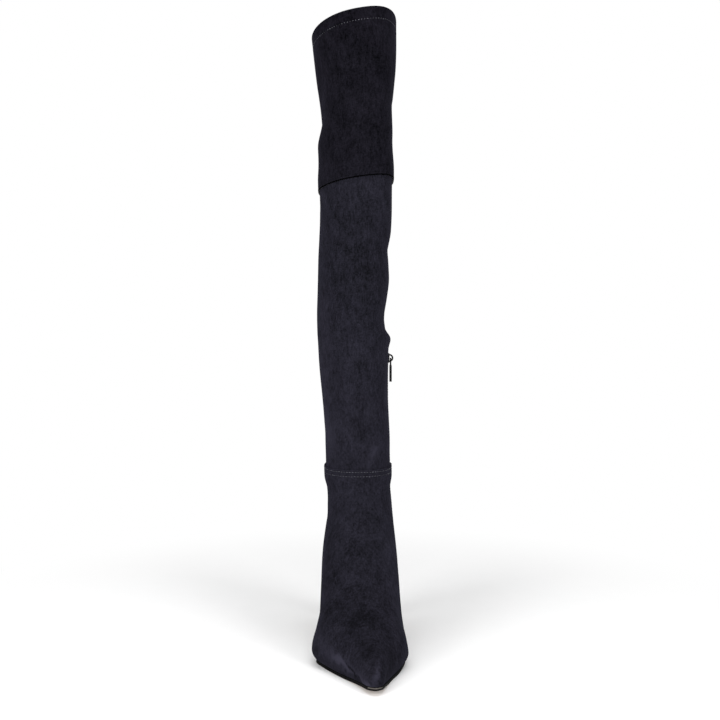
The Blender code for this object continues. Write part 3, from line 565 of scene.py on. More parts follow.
def rings_at(level_of):
    """Closed rings of the outer face at the heights level_of(y), from the front down the inner side to the
    back, and each point's height before its lift."""

    def inside(y):
        return boot_depth(inside_x(y, level_of(y)), y, level_of(y))

    start = ANKLE_Y + 0 * level_of(ANKLE_Y)
    front = halve(start, start * 0 + TOE_Y - NOSE_ROUNDING, inside)
    back = halve(start, start * 0 + HEEL_BACK_Y + SHAFT_DEPTH, inside)
    turn = np.linspace(0, np.pi, POINTS_PER_SIDE)
    y = front + (back - front) * 0.5 * (1 - np.cos(turn))
    z = level_of(y)
    inner, outer, ends = side_x(y, z, 1), side_x(y, z, -1), inside_x(y, z)
    inner[:, [0, -1]] = ends[:, [0, -1]]
    x = np.concatenate((inner, outer[:, -2:0:-1]), axis=1)
    y = np.concatenate((y, y[:, -2:0:-1]), axis=1)
    z = np.concatenate((z, z[:, -2:0:-1]), axis=1)
    return np.stack((x, y, z + lift(x, y, z)), axis=2), z


def foot_rings(shares):
    """Rings that lie these shares of the way from the feather edge to the ramp below the ankle seam."""
    top = ANKLE_SEAM - SEAM_LAP - LAP_RAMP
    share = np.array(shares)[:, None]
    return rings_at(lambda y: sole_top(y) + share * (top - sole_top(y)))


def leg_rings(heights):
    """Rings of the leg at these heights, before their lift."""
    height = np.array(heights)[:, None]
    return rings_at(lambda y: height + 0 * y)


def unit(vectors):
    """The vectors, each at length 1."""
    return vectors / np.linalg.norm(vectors, axis=-1, keepdims=True)


def face_normals(rings):
    """Outward normals of a stack of rings that runs upwards, from its own neighbours."""
    around = np.roll(rings, -1, axis=1) - np.roll(rings, 1, axis=1)
    upward = np.gradient(rings, axis=0)
    return unit(np.cross(around, upward))


def girth(rings):
    """Distance round each ring from its front, and the ring's whole length."""
    step = np.linalg.norm(np.roll(rings, -1, axis=1) - rings, axis=2)
    so_far = np.concatenate((np.zeros((len(rings), 1)), np.cumsum(step, axis=1)), axis=1)
    return so_far[:, :-1], so_far[:, -1:]


def zip_y(z):
    """y of the zip's line at the height z."""
    return ZIP_BOTTOM_Y + (ZIP_TOP_Y - ZIP_BOTTOM_Y) * (z - ZIP_BOTTOM) / (ZIP_TOP - ZIP_BOTTOM)


def past_zip(rings, heights, round_front):
    """Distance round the boot from the zip's line, at each point of the rings."""
    half = POINTS_PER_SIDE
    place = [
        np.interp(0.0, ring[:half, 1] - zip_y(height[:half]), run[:half])
        for ring, height, run in zip(rings, heights, round_front)
    ]
    return round_front - np.array(place)[:, None]


def crease_height(rings, heights):
    """How far the creases and the soft waves of the suede stand off the plain face."""
    run, whole = girth(rings)
    half = 0.5 * whole
    around = np.where(run > half, run - whole, run) / half
    troughs, ridges = np.zeros(rings.shape[:2]), np.zeros(rings.shape[:2])
    for start, start_up, end, end_up, width, depth in CREASES:
        share = np.linspace(0, 1, 9)
        line = []
        places = start + (end - start) * share, (start_up + (end_up - start_up) * share) * BOOT_HEIGHT
        for a, up in zip(*places):
            gap = ((around - a) * half) ** 2 + (heights - up) ** 2
            nearest = np.unravel_index(np.argmin(gap), gap.shape)
            if gap[nearest] < (3 * MILLIMETRE * width) ** 2:
                line.append(rings[nearest])
        for index in range(len(line) - 1):
            a, b = line[index], line[index + 1]
            length = max(float(np.dot(b - a, b - a)), 1e-12)
            t = np.clip(((rings - a) @ (b - a)) / length, 0, 1)
            away = np.linalg.norm(rings - a - t[..., None] * (b - a), axis=2)
            taper = np.sin(np.pi * (index + t + 0.6) / (len(line) + 0.2))
            here = MILLIMETRE * depth * taper * np.exp(-((away / (MILLIMETRE * width)) ** 2))
            troughs, ridges = np.maximum(troughs, here), np.maximum(ridges, -here)
    x, y, z = np.moveaxis(rings, 2, 0)
    leg = smooth_step(0.12, 0.22, z)
    wave = np.sin(46 * z + 60 * x + 1.3) * np.sin(58 * y - 23 * z) + 0.7 * np.sin(95 * z - 70 * y + 40 * x)
    return ridges - troughs + WAVE_HEIGHT * wave * leg


def edge_inset(distance):
    """How far a wall's faces draw in at this distance from its rounded edge."""
    radius = 0.5 * WALL
    short = np.clip(radius - distance, 0, radius)
    return radius - np.sqrt(radius**2 - short**2)


def edge_levels(edge, way):
    """Heights that follow the wall's rounded edge, from the edge inwards. way is 1 upwards."""
    turn = np.linspace(0, 0.5 * np.pi, EDGE_RINGS)
    return list(edge + way * 0.5 * WALL * (1 - np.cos(turn)))


def even_levels(low, high):
    """Heights between low and high, both included, about RING_STEP apart."""
    return list(np.linspace(low, high, max(2, int(round((high - low) / RING_STEP)) + 1)))


def new_object(name, data):
    """An object with this data, in the scene's own collection."""
    thing = bpy.data.objects.new(name, data)
    bpy.context.scene.collection.objects.link(thing)
    return thing


def add_mesh(name, points, faces, materials, face_material=None, face_maps=None):
    """A mesh object at the origin, shaded smooth except at its sharp edges, with a map of the surface."""
    mesh = bpy.data.meshes.new(name)
    mesh.from_pydata(np.asarray(points, float).tolist(), [], faces)
    if face_maps is not None:
        layer = mesh.uv_layers.new(name="surface")
        layer.data.foreach_set("uv", np.asarray(face_maps, np.float32).ravel())
    if face_material is not None:
        mesh.polygons.foreach_set("material_index", np.asarray(face_material, np.int32))
    mesh.update()
    mesh.shade_smooth()
    mesh.set_sharp_from_angle(angle=SHARP_ANGLE)
    for material in materials:
        mesh.materials.append(material)
    return new_object(name, mesh)


def wall_offset(wall, heights):
    """How far a wall stands off the boot's plain face: the laps over the ankle and knee seams."""
    if wall == "upper":
        top = ANKLE_SEAM - SEAM_LAP
        return (GAP + WALL) * smooth_step(top - ANKLE_LAP_FLARE, top, heights)
    if wall == "thigh_cuff":
        top = KNEE_SEAM + SEAM_LAP
        return (GAP + WALL) * (1 - smooth_step(top, top + KNEE_LAP_FLARE, heights))
    return 0 * heights


def finished(thing, body, slot, *nodes):
    """The piece rides on its body and stands for these CAD nodes, which it hides. Its slot is not used."""
    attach(thing, body)
    if nodes:
        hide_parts(*nodes)
    return thing


def applied(thing):
    """The object with its modifiers made real, in its own place."""
    graph = bpy.context.evaluated_depsgraph_get()
    seen = thing.evaluated_get(graph)
    mesh = bpy.data.meshes.new_from_object(seen, preserve_all_data_layers=True, depsgraph=graph)
    thing.modifiers.clear()
    thing.data = mesh
    return thing


def welded(thing):
    """The object with points that coincide made one."""
    thing.modifiers.new("Weld", "WELD").merge_threshold = 1e-6
    return applied(thing)


def build_wall(name, rings, heights, on_sole, hem, materials, painted=0.0):
    """A hollow wall with rounded edges, or one that stands on the sole: suede outside, lining inside below
    the hem, and black paint on its lower edge up to a height, dark enough to be the painted shade of the
    seam below it."""
    offset = wall_offset(name, heights) + crease_height(rings, heights)
    low, high = heights[0].mean(), heights[-1].mean()
    inset = edge_inset(high - heights)
    if not on_sole:
        inset += edge_inset(heights - low)
    normals = face_normals(rings)
    outer = rings + normals * (offset - inset)[..., None]
    inner = rings + normals * (offset - WALL + inset)[..., None]
    if on_sole:
        for face in (outer, inner):
            face[0, :, 2] = sole_top(face[0, :, 1]) + GAP
    stack = np.concatenate((outer, inner[::-1]))
    run, whole = girth(rings)
    across = past_zip(rings, heights, run) if name != "thigh_cuff" else run
    across = np.concatenate((across, across[:, :1] + whole), axis=1)
    across = np.concatenate((across, across[::-1]))
    level = np.concatenate((heights, heights[::-1]))
    level = np.concatenate((level, level[:, :1]), axis=1)
    count, rows = stack.shape[1], len(stack)
    faces, face_maps, face_material = [], [], []
    middle = len(outer) - 1
    for r in range(rows):
        up = (r + 1) % rows
        if r == middle or (up == 0 and not on_sole):
            continue
        inside = r > middle and high - level[r, 0] > hem
        for j in range(count):
            k = (j + 1) % count
            faces.append((r * count + j, r * count + k, up * count + k, up * count + j))
            face_maps += [
                (across[r, j], level[r, j]), (across[r, j + 1], level[r, j + 1]),
                (across[up, j + 1], level[up, j + 1]), (across[up, j], level[up, j]),
            ]
            # The painted edge is also the painted shade of the seam under the lap.
            edge = 0 < painted and not inside and level[r, 0] - low < painted
            face_material.append(2 if edge else 1 if inside else 0)
    points = stack.reshape(-1, 3)
    thing = add_mesh(name + "_shell", points, faces, materials, face_material, face_maps)
    return welded(thing)


def leg_wall(name, low, high, hem, materials, painted=0.0):
    """A wall of the leg between two heights."""
    levels = edge_levels(low, 1) + even_levels(low + 0.5 * WALL, high - 0.5 * WALL)[1:-1]
    rings, heights = leg_rings(levels + edge_levels(high, -1)[::-1])
    return build_wall(name, rings, heights, False, hem, materials, painted)


def band_faces(count, rings):
    """Quads between each ring and the next, of count points each."""
    faces = []
    for r in range(rings - 1):
        for j in range(count):
            k = (j + 1) % count
            a = r * count
            faces.append((a + j, a + k, a + count + k, a + count + j))
    return faces


def strip_faces(start, count, upwards):
    """Quads from side to side that fill a ring whose points j and count - j lie level."""
    faces = []
    for j in range(count // 2):
        quad = dict.fromkeys((j, j + 1, count - j - 1, (count - j) % count))
        face = tuple(start + v for v in quad)
        faces.append(face if upwards else face[::-1])
    return faces


def strip_loft(count, rings):
    """Faces of a solid between level rings: strips over its bottom, its bands, and strips over its top."""
    top = strip_faces((rings - 1) * count, count, True)
    return strip_faces(0, count, False) + band_faces(count, rings) + top


def closed_loft(name, rings, materials):
    """A solid between the first ring and the last, which are filled."""
    count = len(rings[0])
    faces = band_faces(count, len(rings))
    faces.append(tuple(range(count - 1, -1, -1)))
    last = (len(rings) - 1) * count
    faces.append(tuple(range(last, last + count)))
    return add_mesh(name, np.concatenate(rings), faces, materials)


def inner_side_point(y, z):
    """The point of the outer face on the leg's inner side, lifted as the rings are."""
    x = side_x(y, z, 1)
    return np.stack((x, y, z + lift(x, y, z)), axis=-1)


def inner_side_normal(y, z):
    """Outward direction of the face on the leg's inner side."""
    step = 0.002
    along = inner_side_point(y + step, z) - inner_side_point(y - step, z)
    up = inner_side_point(y, z + step) - inner_side_point(y, z - step)
    return unit(np.cross(along, up))


def off_inner_side(y, z, distance):
    """A point at a distance outside the inner side, square to the face."""
    y, z = np.asarray(y, float), np.asarray(z, float)
    return inner_side_point(y, z) + inner_side_normal(y, z) * np.asarray(distance)[..., None]


def joined(name, things):
    """One object from several, with the first one's materials extended by the others'."""
    bpy.ops.object.select_all(action="DESELECT")
    for thing in things:
        thing.select_set(True)
    bpy.context.view_layer.objects.active = things[0]
    bpy.ops.object.join()
    things[0].name = name
    things[0].data.name = name
    return things[0]


def add_node(tree, kind, values=None, **settings):
    """A node with its settings. A value is a constant, or the socket that feeds the input."""
    made = tree.nodes.new(kind)
    for key, value in settings.items():
        setattr(made, key, value)
    for key, value in (values or {}).items():
        if isinstance(value, bpy.types.NodeSocket):
            tree.links.new(value, made.inputs[key])
        else:
            made.inputs[key].default_value = value
    return made


def math_node(tree, operation, first, second=None, third=None):
    """The result of one sum."""
    values = {0: first}
    if second is not None:
        values[1] = second
    if third is not None:
        values[2] = third
    return add_node(tree, "ShaderNodeMath", values, operation=operation).outputs[0]


def object_place(tree):
    """The place on the object, in metres."""
    return add_node(tree, "ShaderNodeTexCoord").outputs["Object"]


def noise(tree, where, scale, detail=2.0, out="Fac", **more):
    """Noise at a place, as a value or a colour."""
    values = {"Vector": where, "Scale": scale, "Detail": detail, **more}
    return add_node(tree, "ShaderNodeTexNoise", values).outputs[out]


def map_range(tree, value, source=(0.0, 1.0), target=(0.0, 1.0), **settings):
    """A value taken from one range to another."""
    ends = dict(zip(("From Min", "From Max", "To Min", "To Max"), (*source, *target)))
    return add_node(tree, "ShaderNodeMapRange", {"Value": value, **ends}, **settings).outputs["Result"]


def mix_colour(tree, share, dark, light):
    """The colour at this share of the way from dark to light."""
    mixed = add_node(tree, "ShaderNodeMix", {"Factor": share, "A": dark, "B": light}, data_type="RGBA")
    return next(socket for socket in mixed.outputs if socket.type == "RGBA")


def soft_mask(tree, away):
    """1 at no distance, falling off as a bell curve."""
    square = math_node(tree, "MULTIPLY", away, away)
    return math_node(tree, "EXPONENT", math_node(tree, "MULTIPLY", square, -1.0))


def bump_shader(tree, shader, height, strength, distance):
    """Turns the shader's normal by a height."""
    bump = add_node(tree, "ShaderNodeBump", {"Strength": strength, "Distance": distance, "Height": height})
    tree.links.new(bump.outputs[0], shader.inputs["Normal"])


def kept_group(build):
    """The node group that this function builds, built on its first use."""
    return bpy.data.node_groups.get(build.__name__) or build(build.__name__)


def new_group(name, inputs, outputs, kind="Shader"):
    """A node group with these inputs (name, kind, default) and outputs (name, kind), and its two ends."""
    tree = bpy.data.node_groups.new(name, kind + "NodeTree")
    for way, sockets in (("INPUT", inputs), ("OUTPUT", outputs)):
        for label, value, *default in sockets:
            made = tree.interface.new_socket(name=label, in_out=way, socket_type="NodeSocket" + value)
            if default:
                made.default_value = default[0]
    return tree, tree.nodes.new("NodeGroupInput"), tree.nodes.new("NodeGroupOutput")


def suede_nap(name):
    """Suede nap: brushed patches, soft streaks along the leg and fine fibres, as a colour and a height, with
    painted highlights and painted shade laid over them in given places.
    """
    tree, given, result = new_group(name, (
        ("Dark", "Color", (0.01, 0.01, 0.014, 1)),
        ("Light", "Color", (0.03, 0.03, 0.042, 1)),
        ("Raised", "Color", (0.05, 0.05, 0.065, 1)),
        ("Patch Scale", "Float", 60.0),
        ("Streak Scale", "Float", 240.0),
        ("Fibre Scale", "Float", 620.0),
        ("Brushed", "Float", 0.0),
    ), (("Colour", "Color"), ("Height", "Float"), ("Roughness", "Float")))
    wanted = given.outputs
    where = object_place(tree)
    drawn_out = {"Vector": where, "Scale": (1.0, 1.0, NAP_STRETCH)}
    long_way = add_node(tree, "ShaderNodeMapping", drawn_out).outputs[0]
    patch = noise(tree, where, wanted["Patch Scale"], 4.0, Roughness=0.55, Distortion=0.4)
    streak = noise(tree, long_way, wanted["Streak Scale"], 5.0, Roughness=0.6)
    fibre = noise(tree, long_way, wanted["Fibre Scale"], 3.0, Roughness=0.6)
    grain = noise(tree, where, wanted["Fibre Scale"])
    mottle = math_node(tree, "MULTIPLY", streak, STREAK_SHARE)
    # The last part is the painted light and shade of given places on the front.
    for part, share in (
        (patch, PATCH_SHARE), (fibre, FIBRE_SHARE), (grain, GRAIN_SHARE),
        (wanted["Brushed"], PAINTED_LIGHT_SHARE),
    ):
        mottle = math_node(tree, "MULTIPLY_ADD", part, share, mottle)
    colour = mix_colour(tree, map_range(tree, mottle, MOTTLE_RANGE), wanted["Dark"], wanted["Light"])
    # Painted highlight: the colour blends towards a lighter colour where the painted light is strong.
    lifted = map_range(tree, wanted["Brushed"], HIGHLIGHT_FROM, HIGHLIGHT_TO)
    colour = mix_colour(tree, lifted, colour, wanted["Raised"])
    height = math_node(tree, "MULTIPLY_ADD", fibre, 0.6, math_node(tree, "MULTIPLY", grain, 0.4))
    height = math_node(tree, "MULTIPLY_ADD", patch, 0.8, height)
    rough = map_range(tree, mottle, target=NAP_ROUGHNESS)
    for label, value in (("Colour", colour), ("Height", height), ("Roughness", rough)):
        tree.links.new(value, result.inputs[label])
    return tree


def brushed_place(name):
    """One patch of painted highlight or painted shade, by the sign of its lift, on the front of the boot: a
    soft ellipse whose edge a noise breaks up.
    """
    tree, given, result = new_group(name, (
        ("Place", "Vector", (0, 0, 0)),
        ("Turn", "Vector", (0, 0, 0)),
        ("Reach", "Vector", (0.01, 1.0, 0.01)),
        ("Lift", "Float", 0.3),
        ("Before", "Float", 0.0),
    ), (("After", "Float"),))

    def vector_node(operation, values, out=0):
        return add_node(tree, "ShaderNodeVectorMath", values, operation=operation).outputs[out]

    where = object_place(tree)
    ragged = vector_node("SUBTRACT", {0: noise(tree, where, 130.0, 4.0, "Color"), 1: (0.5, 0.5, 0.5)})
    ragged = vector_node("SCALE", {0: ragged, "Scale": RAGGED_EDGE})
    where = vector_node("ADD", {0: where, 1: ragged})
    local = add_node(tree, "ShaderNodeMapping", {
        "Vector": where, "Location": given.outputs["Place"], "Rotation": given.outputs["Turn"],
        "Scale": given.outputs["Reach"],
    }, vector_type="TEXTURE").outputs[0]
    mask = soft_mask(tree, vector_node("LENGTH", {0: local}, "Value"))
    face = add_node(tree, "ShaderNodeNewGeometry").outputs["Normal"]
    facing = add_node(tree, "ShaderNodeSeparateXYZ", {0: face}).outputs["Y"]
    mask = math_node(tree, "MULTIPLY", mask, math_node(tree, "LESS_THAN", facing, FRONT_LIMIT))
    total = math_node(tree, "MULTIPLY_ADD", mask, given.outputs["Lift"], given.outputs["Before"])
    tree.links.new(total, result.inputs["After"])
    return tree


def brushed_places(tree, low, high):
    """The patches of painted light and shade between two heights, added up."""
    total = 0.0
    for x, z, turn, across, along, lift_here in PAINTED_LIGHT_PATCHES:
        if low < z < high:
            total = add_node(tree, "ShaderNodeGroup", {
                "Place": (x, 0.0, z), "Turn": (0.0, np.radians(turn), 0.0), "Reach": (across, 1.0, along),
                "Lift": lift_here, "Before": total,
            }, node_tree=kept_group(brushed_place)).outputs["After"]
    return total


def stitch_channel(name):
    """A soft channel across the surface map, where a row of stitches pulls the face down."""
    sockets = (("At", "Float", 0.0), ("Place", "Float", 0.0), ("Width", "Float", 0.0009))
    tree, given, result = new_group(name, sockets, (("Height", "Float"),))
    away = math_node(tree, "SUBTRACT", given.outputs["At"], given.outputs["Place"])
    away = math_node(tree, "DIVIDE", away, given.outputs["Width"])
    hollow = math_node(tree, "MULTIPLY", soft_mask(tree, away), -1.0)
    tree.links.new(hollow, result.inputs["Height"])
    return tree


def new_material(name, roughness, **sockets):
    """A material with a plain Principled shader, and its tree and shader."""
    material = bpy.data.materials.new(name)
    material.use_nodes = True
    tree = material.node_tree
    shader = tree.nodes["Principled BSDF"]
    shader.inputs["Roughness"].default_value = roughness
    for key, value in sockets.items():
        shader.inputs[key.replace("_", " ")].default_value = value
    return material, tree, shader


def suede_material(name, dark, light, band, rows_up, rows_across=(), patch_scale=55.0):
    """Suede with its nap, painted highlights and painted shade in a band of heights, and channels under the
    rows of stitches.
    """
    material, tree, shader = new_material(
        name, 0.95, Sheen_Weight=0.03, Sheen_Roughness=0.4, Specular_IOR_Level=0.0,
        Sheen_Tint=(0.75, 0.72, 1.0, 1))
    # Raised is a painted highlight colour, lighter than the suede's light; Brushed carries the painted light
    # and shade.
    nap = add_node(tree, "ShaderNodeGroup", {
        "Dark": (*dark, 1), "Light": (*light, 1), "Raised": (*[HIGHLIGHT_GAIN * c for c in light], 1),
        "Patch Scale": patch_scale, "Brushed": brushed_places(tree, *band),
    }, node_tree=kept_group(suede_nap)).outputs
    tree.links.new(nap["Colour"], shader.inputs["Base Color"])
    tree.links.new(nap["Roughness"], shader.inputs["Roughness"])
    height = math_node(tree, "MULTIPLY", nap["Height"], NAP_BUMP)
    surface = add_node(tree, "ShaderNodeUVMap", uv_map="surface").outputs[0]
    split = add_node(tree, "ShaderNodeSeparateXYZ", {0: surface}).outputs
    for at, places in ((split["Y"], rows_up), (split["X"], rows_across)):
        for place in places:
            row = {"At": at, "Place": place}
            channel = add_node(tree, "ShaderNodeGroup", row, node_tree=kept_group(stitch_channel))
            height = math_node(tree, "MULTIPLY_ADD", channel.outputs["Height"], CHANNEL_BUMP, height)
    bump_shader(tree, shader, height, 0.8, 0.001)
    return material


def woven_material(name, dark, light, scale, roughness):
    """A fine woven cloth, for the lining and the zip's tape."""
    material, tree, shader = new_material(name, roughness, Sheen_Weight=0.1, Specular_IOR_Level=0.2)
    wave = {"Vector": object_place(tree), "Scale": scale, "Distortion": 0.4, "Detail": 1.0}
    weave = math_node(tree, "MULTIPLY", *(
        add_node(tree, "ShaderNodeTexWave", wave, bands_direction=way).outputs["Fac"] for way in ("Y", "Z")
    ))
    tree.links.new(mix_colour(tree, weave, (*dark, 1), (*light, 1)), shader.inputs["Base Color"])
    bump_shader(tree, shader, weave, 0.6, 0.0003)
    return material


def grained_material(name, dark, light, scale, depth, roughness, specular=0.5):
    """A smooth hard finish with a fine grain and uneven gloss: leather, rubber, metal or thread."""
    material, tree, shader = new_material(name, roughness, Specular_IOR_Level=specular)
    where = object_place(tree)
    grain = noise(tree, where, scale, 4.0)
    broad = noise(tree, where, 0.06 * scale, 3.0)
    colour = mix_colour(tree, map_range(tree, broad, (0.35, 0.65)), (*dark, 1), (*light, 1))
    ends = max(0.05, roughness - GLOSS_SPREAD), min(1.0, roughness + GLOSS_SPREAD)
    tree.links.new(colour, shader.inputs["Base Color"])
    tree.links.new(map_range(tree, broad, target=ends), shader.inputs["Roughness"])
    bump_shader(tree, shader, grain, 0.5, depth)
    return material


def kept_material(build, name, *given):
    """The finish of this name, built on its first use. The CAD frame has materials of the bare names."""
    name = "dressed_" + name
    return bpy.data.materials.get(name) or build(name, *given)


def boot_materials(context):
    """Every finish of the boot by name, from the scene's colours."""
    looks, sizes = context.scene.boot_colours, context.scene.boot_sizes
    near, far, ankle_row = sizes.zip_row, sizes.zip_far_row, ANKLE_SEAM - sizes.seam_row

    def scaled(colour, share):
        return [share * c for c in colour]

    rows = {
        suede_material: (
            # name, dark, light, band, rows up, rows across, patch scale
            ("suede", looks.suede_dark, looks.suede_light, (0.0, KNEE_SEAM),
             (ankle_row, ankle_row - sizes.row_gap), (-far, -near, near, far)),
            ("thigh_suede", looks.thigh_dark, looks.thigh_light, (KNEE_SEAM, BOOT_HEIGHT),
             (BOOT_HEIGHT - sizes.hem_row, KNEE_SEAM + sizes.seam_row), (), 42.0),
        ),
        woven_material: (
            # name, dark, light, scale, roughness
            ("lining", (0.010, 0.010, 0.011), (0.026, 0.025, 0.028), 700.0, 0.8),
            ("zip_tape", (0.006, 0.006, 0.007), (0.022, 0.022, 0.025), 900.0, 0.85),
        ),
        grained_material: (
            # name, dark, light, scale, depth, roughness, specular
            ("sole_leather", looks.sole_edge, scaled(looks.sole_edge, 1.6), 2200.0, 0.00008, 0.7, 0.05),
            ("sole_underside", looks.underside, scaled(looks.underside, 1.25), 1600.0, 0.0001, 0.5),
            ("black_metal", (0.0008, 0.0008, 0.0008), (0.0016, 0.0016, 0.0018), 3000.0, 0.00002, 0.26, 0.3),
            # Black edge paint, matt and darker than the suede: it is also the painted shade of the knee seam
            # under the cuff's lap.
            ("edge_paint", (0.0005, 0.0005, 0.0005), (0.001, 0.001, 0.001), 2200.0, 0.00004, 0.8, 0.0),
            # A painted highlight: pale grey where light catches the sole's upper rim at the toe tip.
            ("raw_edge", (0.050, 0.044, 0.039), (0.085, 0.076, 0.068), 1600.0, 0.00006, 0.7, 0.2),
            ("zip_teeth", (0.012, 0.012, 0.013), (0.020, 0.020, 0.022), 2500.0, 0.00003, 0.34),
            ("tip_rubber", (0.010, 0.010, 0.010), (0.018, 0.018, 0.018), 2600.0, 0.00006, 0.6),
            # The thread runs from 0.3 to 3.6 times its colour in broad patches: partly uneven thread, and
            # its bright patches are painted glints.
            ("thread", scaled(looks.thread, 0.3), scaled(looks.thread, 3.6), 2600.0, 0.00004, 0.35),
            ("matched_thread", looks.thigh_dark, looks.thigh_light, 1400.0, 0.00004, 0.8, 0.1),
        ),
    }
    return {row[0]: kept_material(build, *row) for build, table in rows.items() for row in table}


def bars_along_path(name):
    """Geometry Nodes that set small rounded bars along a path, square to the face under it."""
    tree, given, result = new_group(name, (
        ("Path", "Geometry"),
        ("Pitch", "Float", 0.0026),
        ("Size", "Vector", (0.0019, 0.0006, 0.0005)),
        ("Squareness", "Float", 0.0),
        ("Turn", "Float", 0.0),
        ("Unevenness", "Float", 0.05),
        ("Seed", "Int", 3),
        ("Material", "Material"),
    ), (("Geometry", "Geometry"),), "Geometry")
    wanted = given.outputs

    def step(kind, values=None, **settings):
        return add_node(tree, kind, values, **settings).outputs[0]

    curve = step("GeometryNodeMeshToCurve", {"Mesh": wanted["Path"]})
    points = step("GeometryNodeResampleCurve", {"Curve": curve, "Length": wanted["Pitch"]}, mode="LENGTH")
    cube = step("GeometryNodeMeshCube", {"Size": (1.0, 1.0, 1.0)})
    rounded = {"Mesh": cube, "Level": 1, "Edge Crease": wanted["Squareness"]}
    bar = step("GeometryNodeSubdivisionSurface", rounded)
    bar = step("GeometryNodeSetShadeSmooth", {"Geometry": bar})
    bar = step("GeometryNodeTransform", {"Geometry": bar, "Scale": wanted["Size"]})
    normal = step("GeometryNodeInputNamedAttribute", {"Name": "out"}, data_type="FLOAT_VECTOR")
    axes = {"Primary Axis": normal, "Secondary Axis": step("GeometryNodeInputTangent")}
    facing = step("FunctionNodeAxesToRotation", axes, primary_axis="Z", secondary_axis="X")
    spread = math_node(tree, "MULTIPLY", wanted["Unevenness"], -1.0)
    jitter = add_node(tree, "FunctionNodeRandomValue", {
        "Min": spread, "Max": wanted["Unevenness"], "Seed": wanted["Seed"],
    }, data_type="FLOAT")
    jitter = next(socket for socket in jitter.outputs if socket.enabled)
    turned = math_node(tree, "ADD", wanted["Turn"], jitter)
    spin = step("FunctionNodeEulerToRotation", {0: step("ShaderNodeCombineXYZ", {"Z": turned})})
    turns = {"Rotation": facing, "Rotate By": spin}
    facing = step("FunctionNodeRotateRotation", turns, rotation_space="LOCAL")
    placed = step("GeometryNodeInstanceOnPoints", {"Points": points, "Instance": bar, "Rotation": facing})
    real = step("GeometryNodeRealizeInstances", {"Geometry": placed})
    dressed = step("GeometryNodeSetMaterial", {"Geometry": real, "Material": wanted["Material"]})
    tree.links.new(dressed, result.inputs[0])
    return tree


def bars_along(name, paths, **inputs):
    """Bars along several paths, each a list of points, outward directions and whether it closes."""
    points, edges, outward = [], [], []
    for line, out, closed in paths:
        start = len(points)
        points += np.asarray(line).tolist()
        outward += np.asarray(out).tolist()
        edges += [(start + i, start + i + 1) for i in range(len(line) - 1)]
        if closed:
            edges.append((start + len(line) - 1, start))
    mesh = bpy.data.meshes.new(name)
    mesh.from_pydata(points, edges, [])
    out = mesh.attributes.new("out", "FLOAT_VECTOR", "POINT")
    out.data.foreach_set("vector", np.asarray(outward, np.float32).ravel())
    thing = new_object(name, mesh)
    modifier = thing.modifiers.new("Bars", "NODES")
    modifier.node_group = kept_group(bars_along_path)
    for item in modifier.node_group.interface.items_tree:
        if item.in_out == "INPUT" and item.name in inputs:
            modifier[item.identifier] = inputs[item.name]
    return applied(thing)


def on_wall(wall, row, distance, closed=True):
    """The stretches of a row of points that lie over a wall's finished face, laid at a distance off it."""
    faces = BVHTree.FromObject(bpy.data.objects[wall + "_shell"], bpy.context.evaluated_depsgraph_get())
    laid = []
    for point, way in zip(*row):
        way = Vector(way)
        place, normal = faces.ray_cast(Vector(point) + RAY_REACH * way, -way, 2 * RAY_REACH)[:2]
        over = place is not None and normal.dot(way) > LEAST_FACING
        laid.append((place + normal * distance, normal) if over else None)
    if None not in laid:
        return [(*zip(*laid), closed)]
    start = laid.index(None) if closed else 0
    runs = [[]]
    for spot in laid[start:] + laid[:start]:
        if spot is None:
            runs.append([])
        else:
            runs[-1].append(spot)
    return [(*zip(*run), False) for run in runs if len(run) > 2]


def dressed_ring(wall, height):
    """A level line round a wall's outer face, with its outward directions."""
    levels = height + RING_STEP * np.array((-1.0, 0.0, 1.0))
    rings, heights = leg_rings(levels)
    normals = face_normals(rings)
    offset = wall_offset(wall, heights) + crease_height(rings, heights)
    return rings[1] + normals[1] * offset[1][:, None], normals[1]


def beside_zip(wall, low, high, across, distance):
    """A line up a wall's outer face at a distance across from the zip, with its outward directions."""
    z = np.linspace(low, high, max(8, int((high - low) / 0.004)))
    y = zip_y(z) + across
    normals = inner_side_normal(y, z)
    return inner_side_point(y, z) + normals * (wall_offset(wall, z) + distance)[:, None], normals, False


def tube_along(name, line, out, radius, materials, sides=10):
    """A closed tube round an open line."""
    line, out = np.asarray(line), np.asarray(out)
    ahead = unit(np.gradient(line, axis=0))
    side = unit(np.cross(ahead, out))
    up = np.cross(side, ahead)
    turn = np.linspace(0, 2 * np.pi, sides, endpoint=False)
    rings = [
        point + radius * (np.cos(turn)[:, None] * s + np.sin(turn)[:, None] * u)
        for point, s, u in zip(line, side, up)
    ]
    return closed_loft(name, [ring[::-1] for ring in rings], materials)


def slot_cutter():
    """A prism along X through the inner wall, as wide as the zip's slot."""
    half = 0.5 * ZIP_SLOT_WIDTH
    near, far = FOOT_AXIS_SHIFT + 0.1 * SHAFT_WIDTH, FOOT_AXIS_SHIFT + SHAFT_WIDTH
    corners = []
    for z in (ZIP_BOTTOM, ZIP_TOP):
        z_here = z + float(lift(side_x(zip_y(z), z, 1), zip_y(z), z))
        sides = ((near, -half), (far, -half), (far, half), (near, half))
        corners.append(np.array([(x, zip_y(z) + dy, z_here) for x, dy in sides]))
    return closed_loft("slot_cutter", corners, [])


def slotted(thing):
    """The wall with the zip's slot cut through it."""
    cutter = slot_cutter()
    modifier = thing.modifiers.new("Slot", "BOOLEAN")
    modifier.operation = "DIFFERENCE"
    modifier.object = cutter
    applied(thing)
    bpy.data.objects.remove(cutter)
    return thing


def length(name, description, default):
    """A property for a length in metres."""
    return FloatProperty(name=name, description=description, default=default, unit="LENGTH")


def colour(name, description, default):
    """A property for a colour."""
    return FloatVectorProperty(name=name, description=description, default=default, size=3, subtype="COLOR")


def softbox_power(side, default):
    """A property for a softbox's power in watts."""
    text = "Power of the " + side.lower() + " softbox"
    return FloatProperty(name=side + " Light", description=text, default=default, unit="POWER")


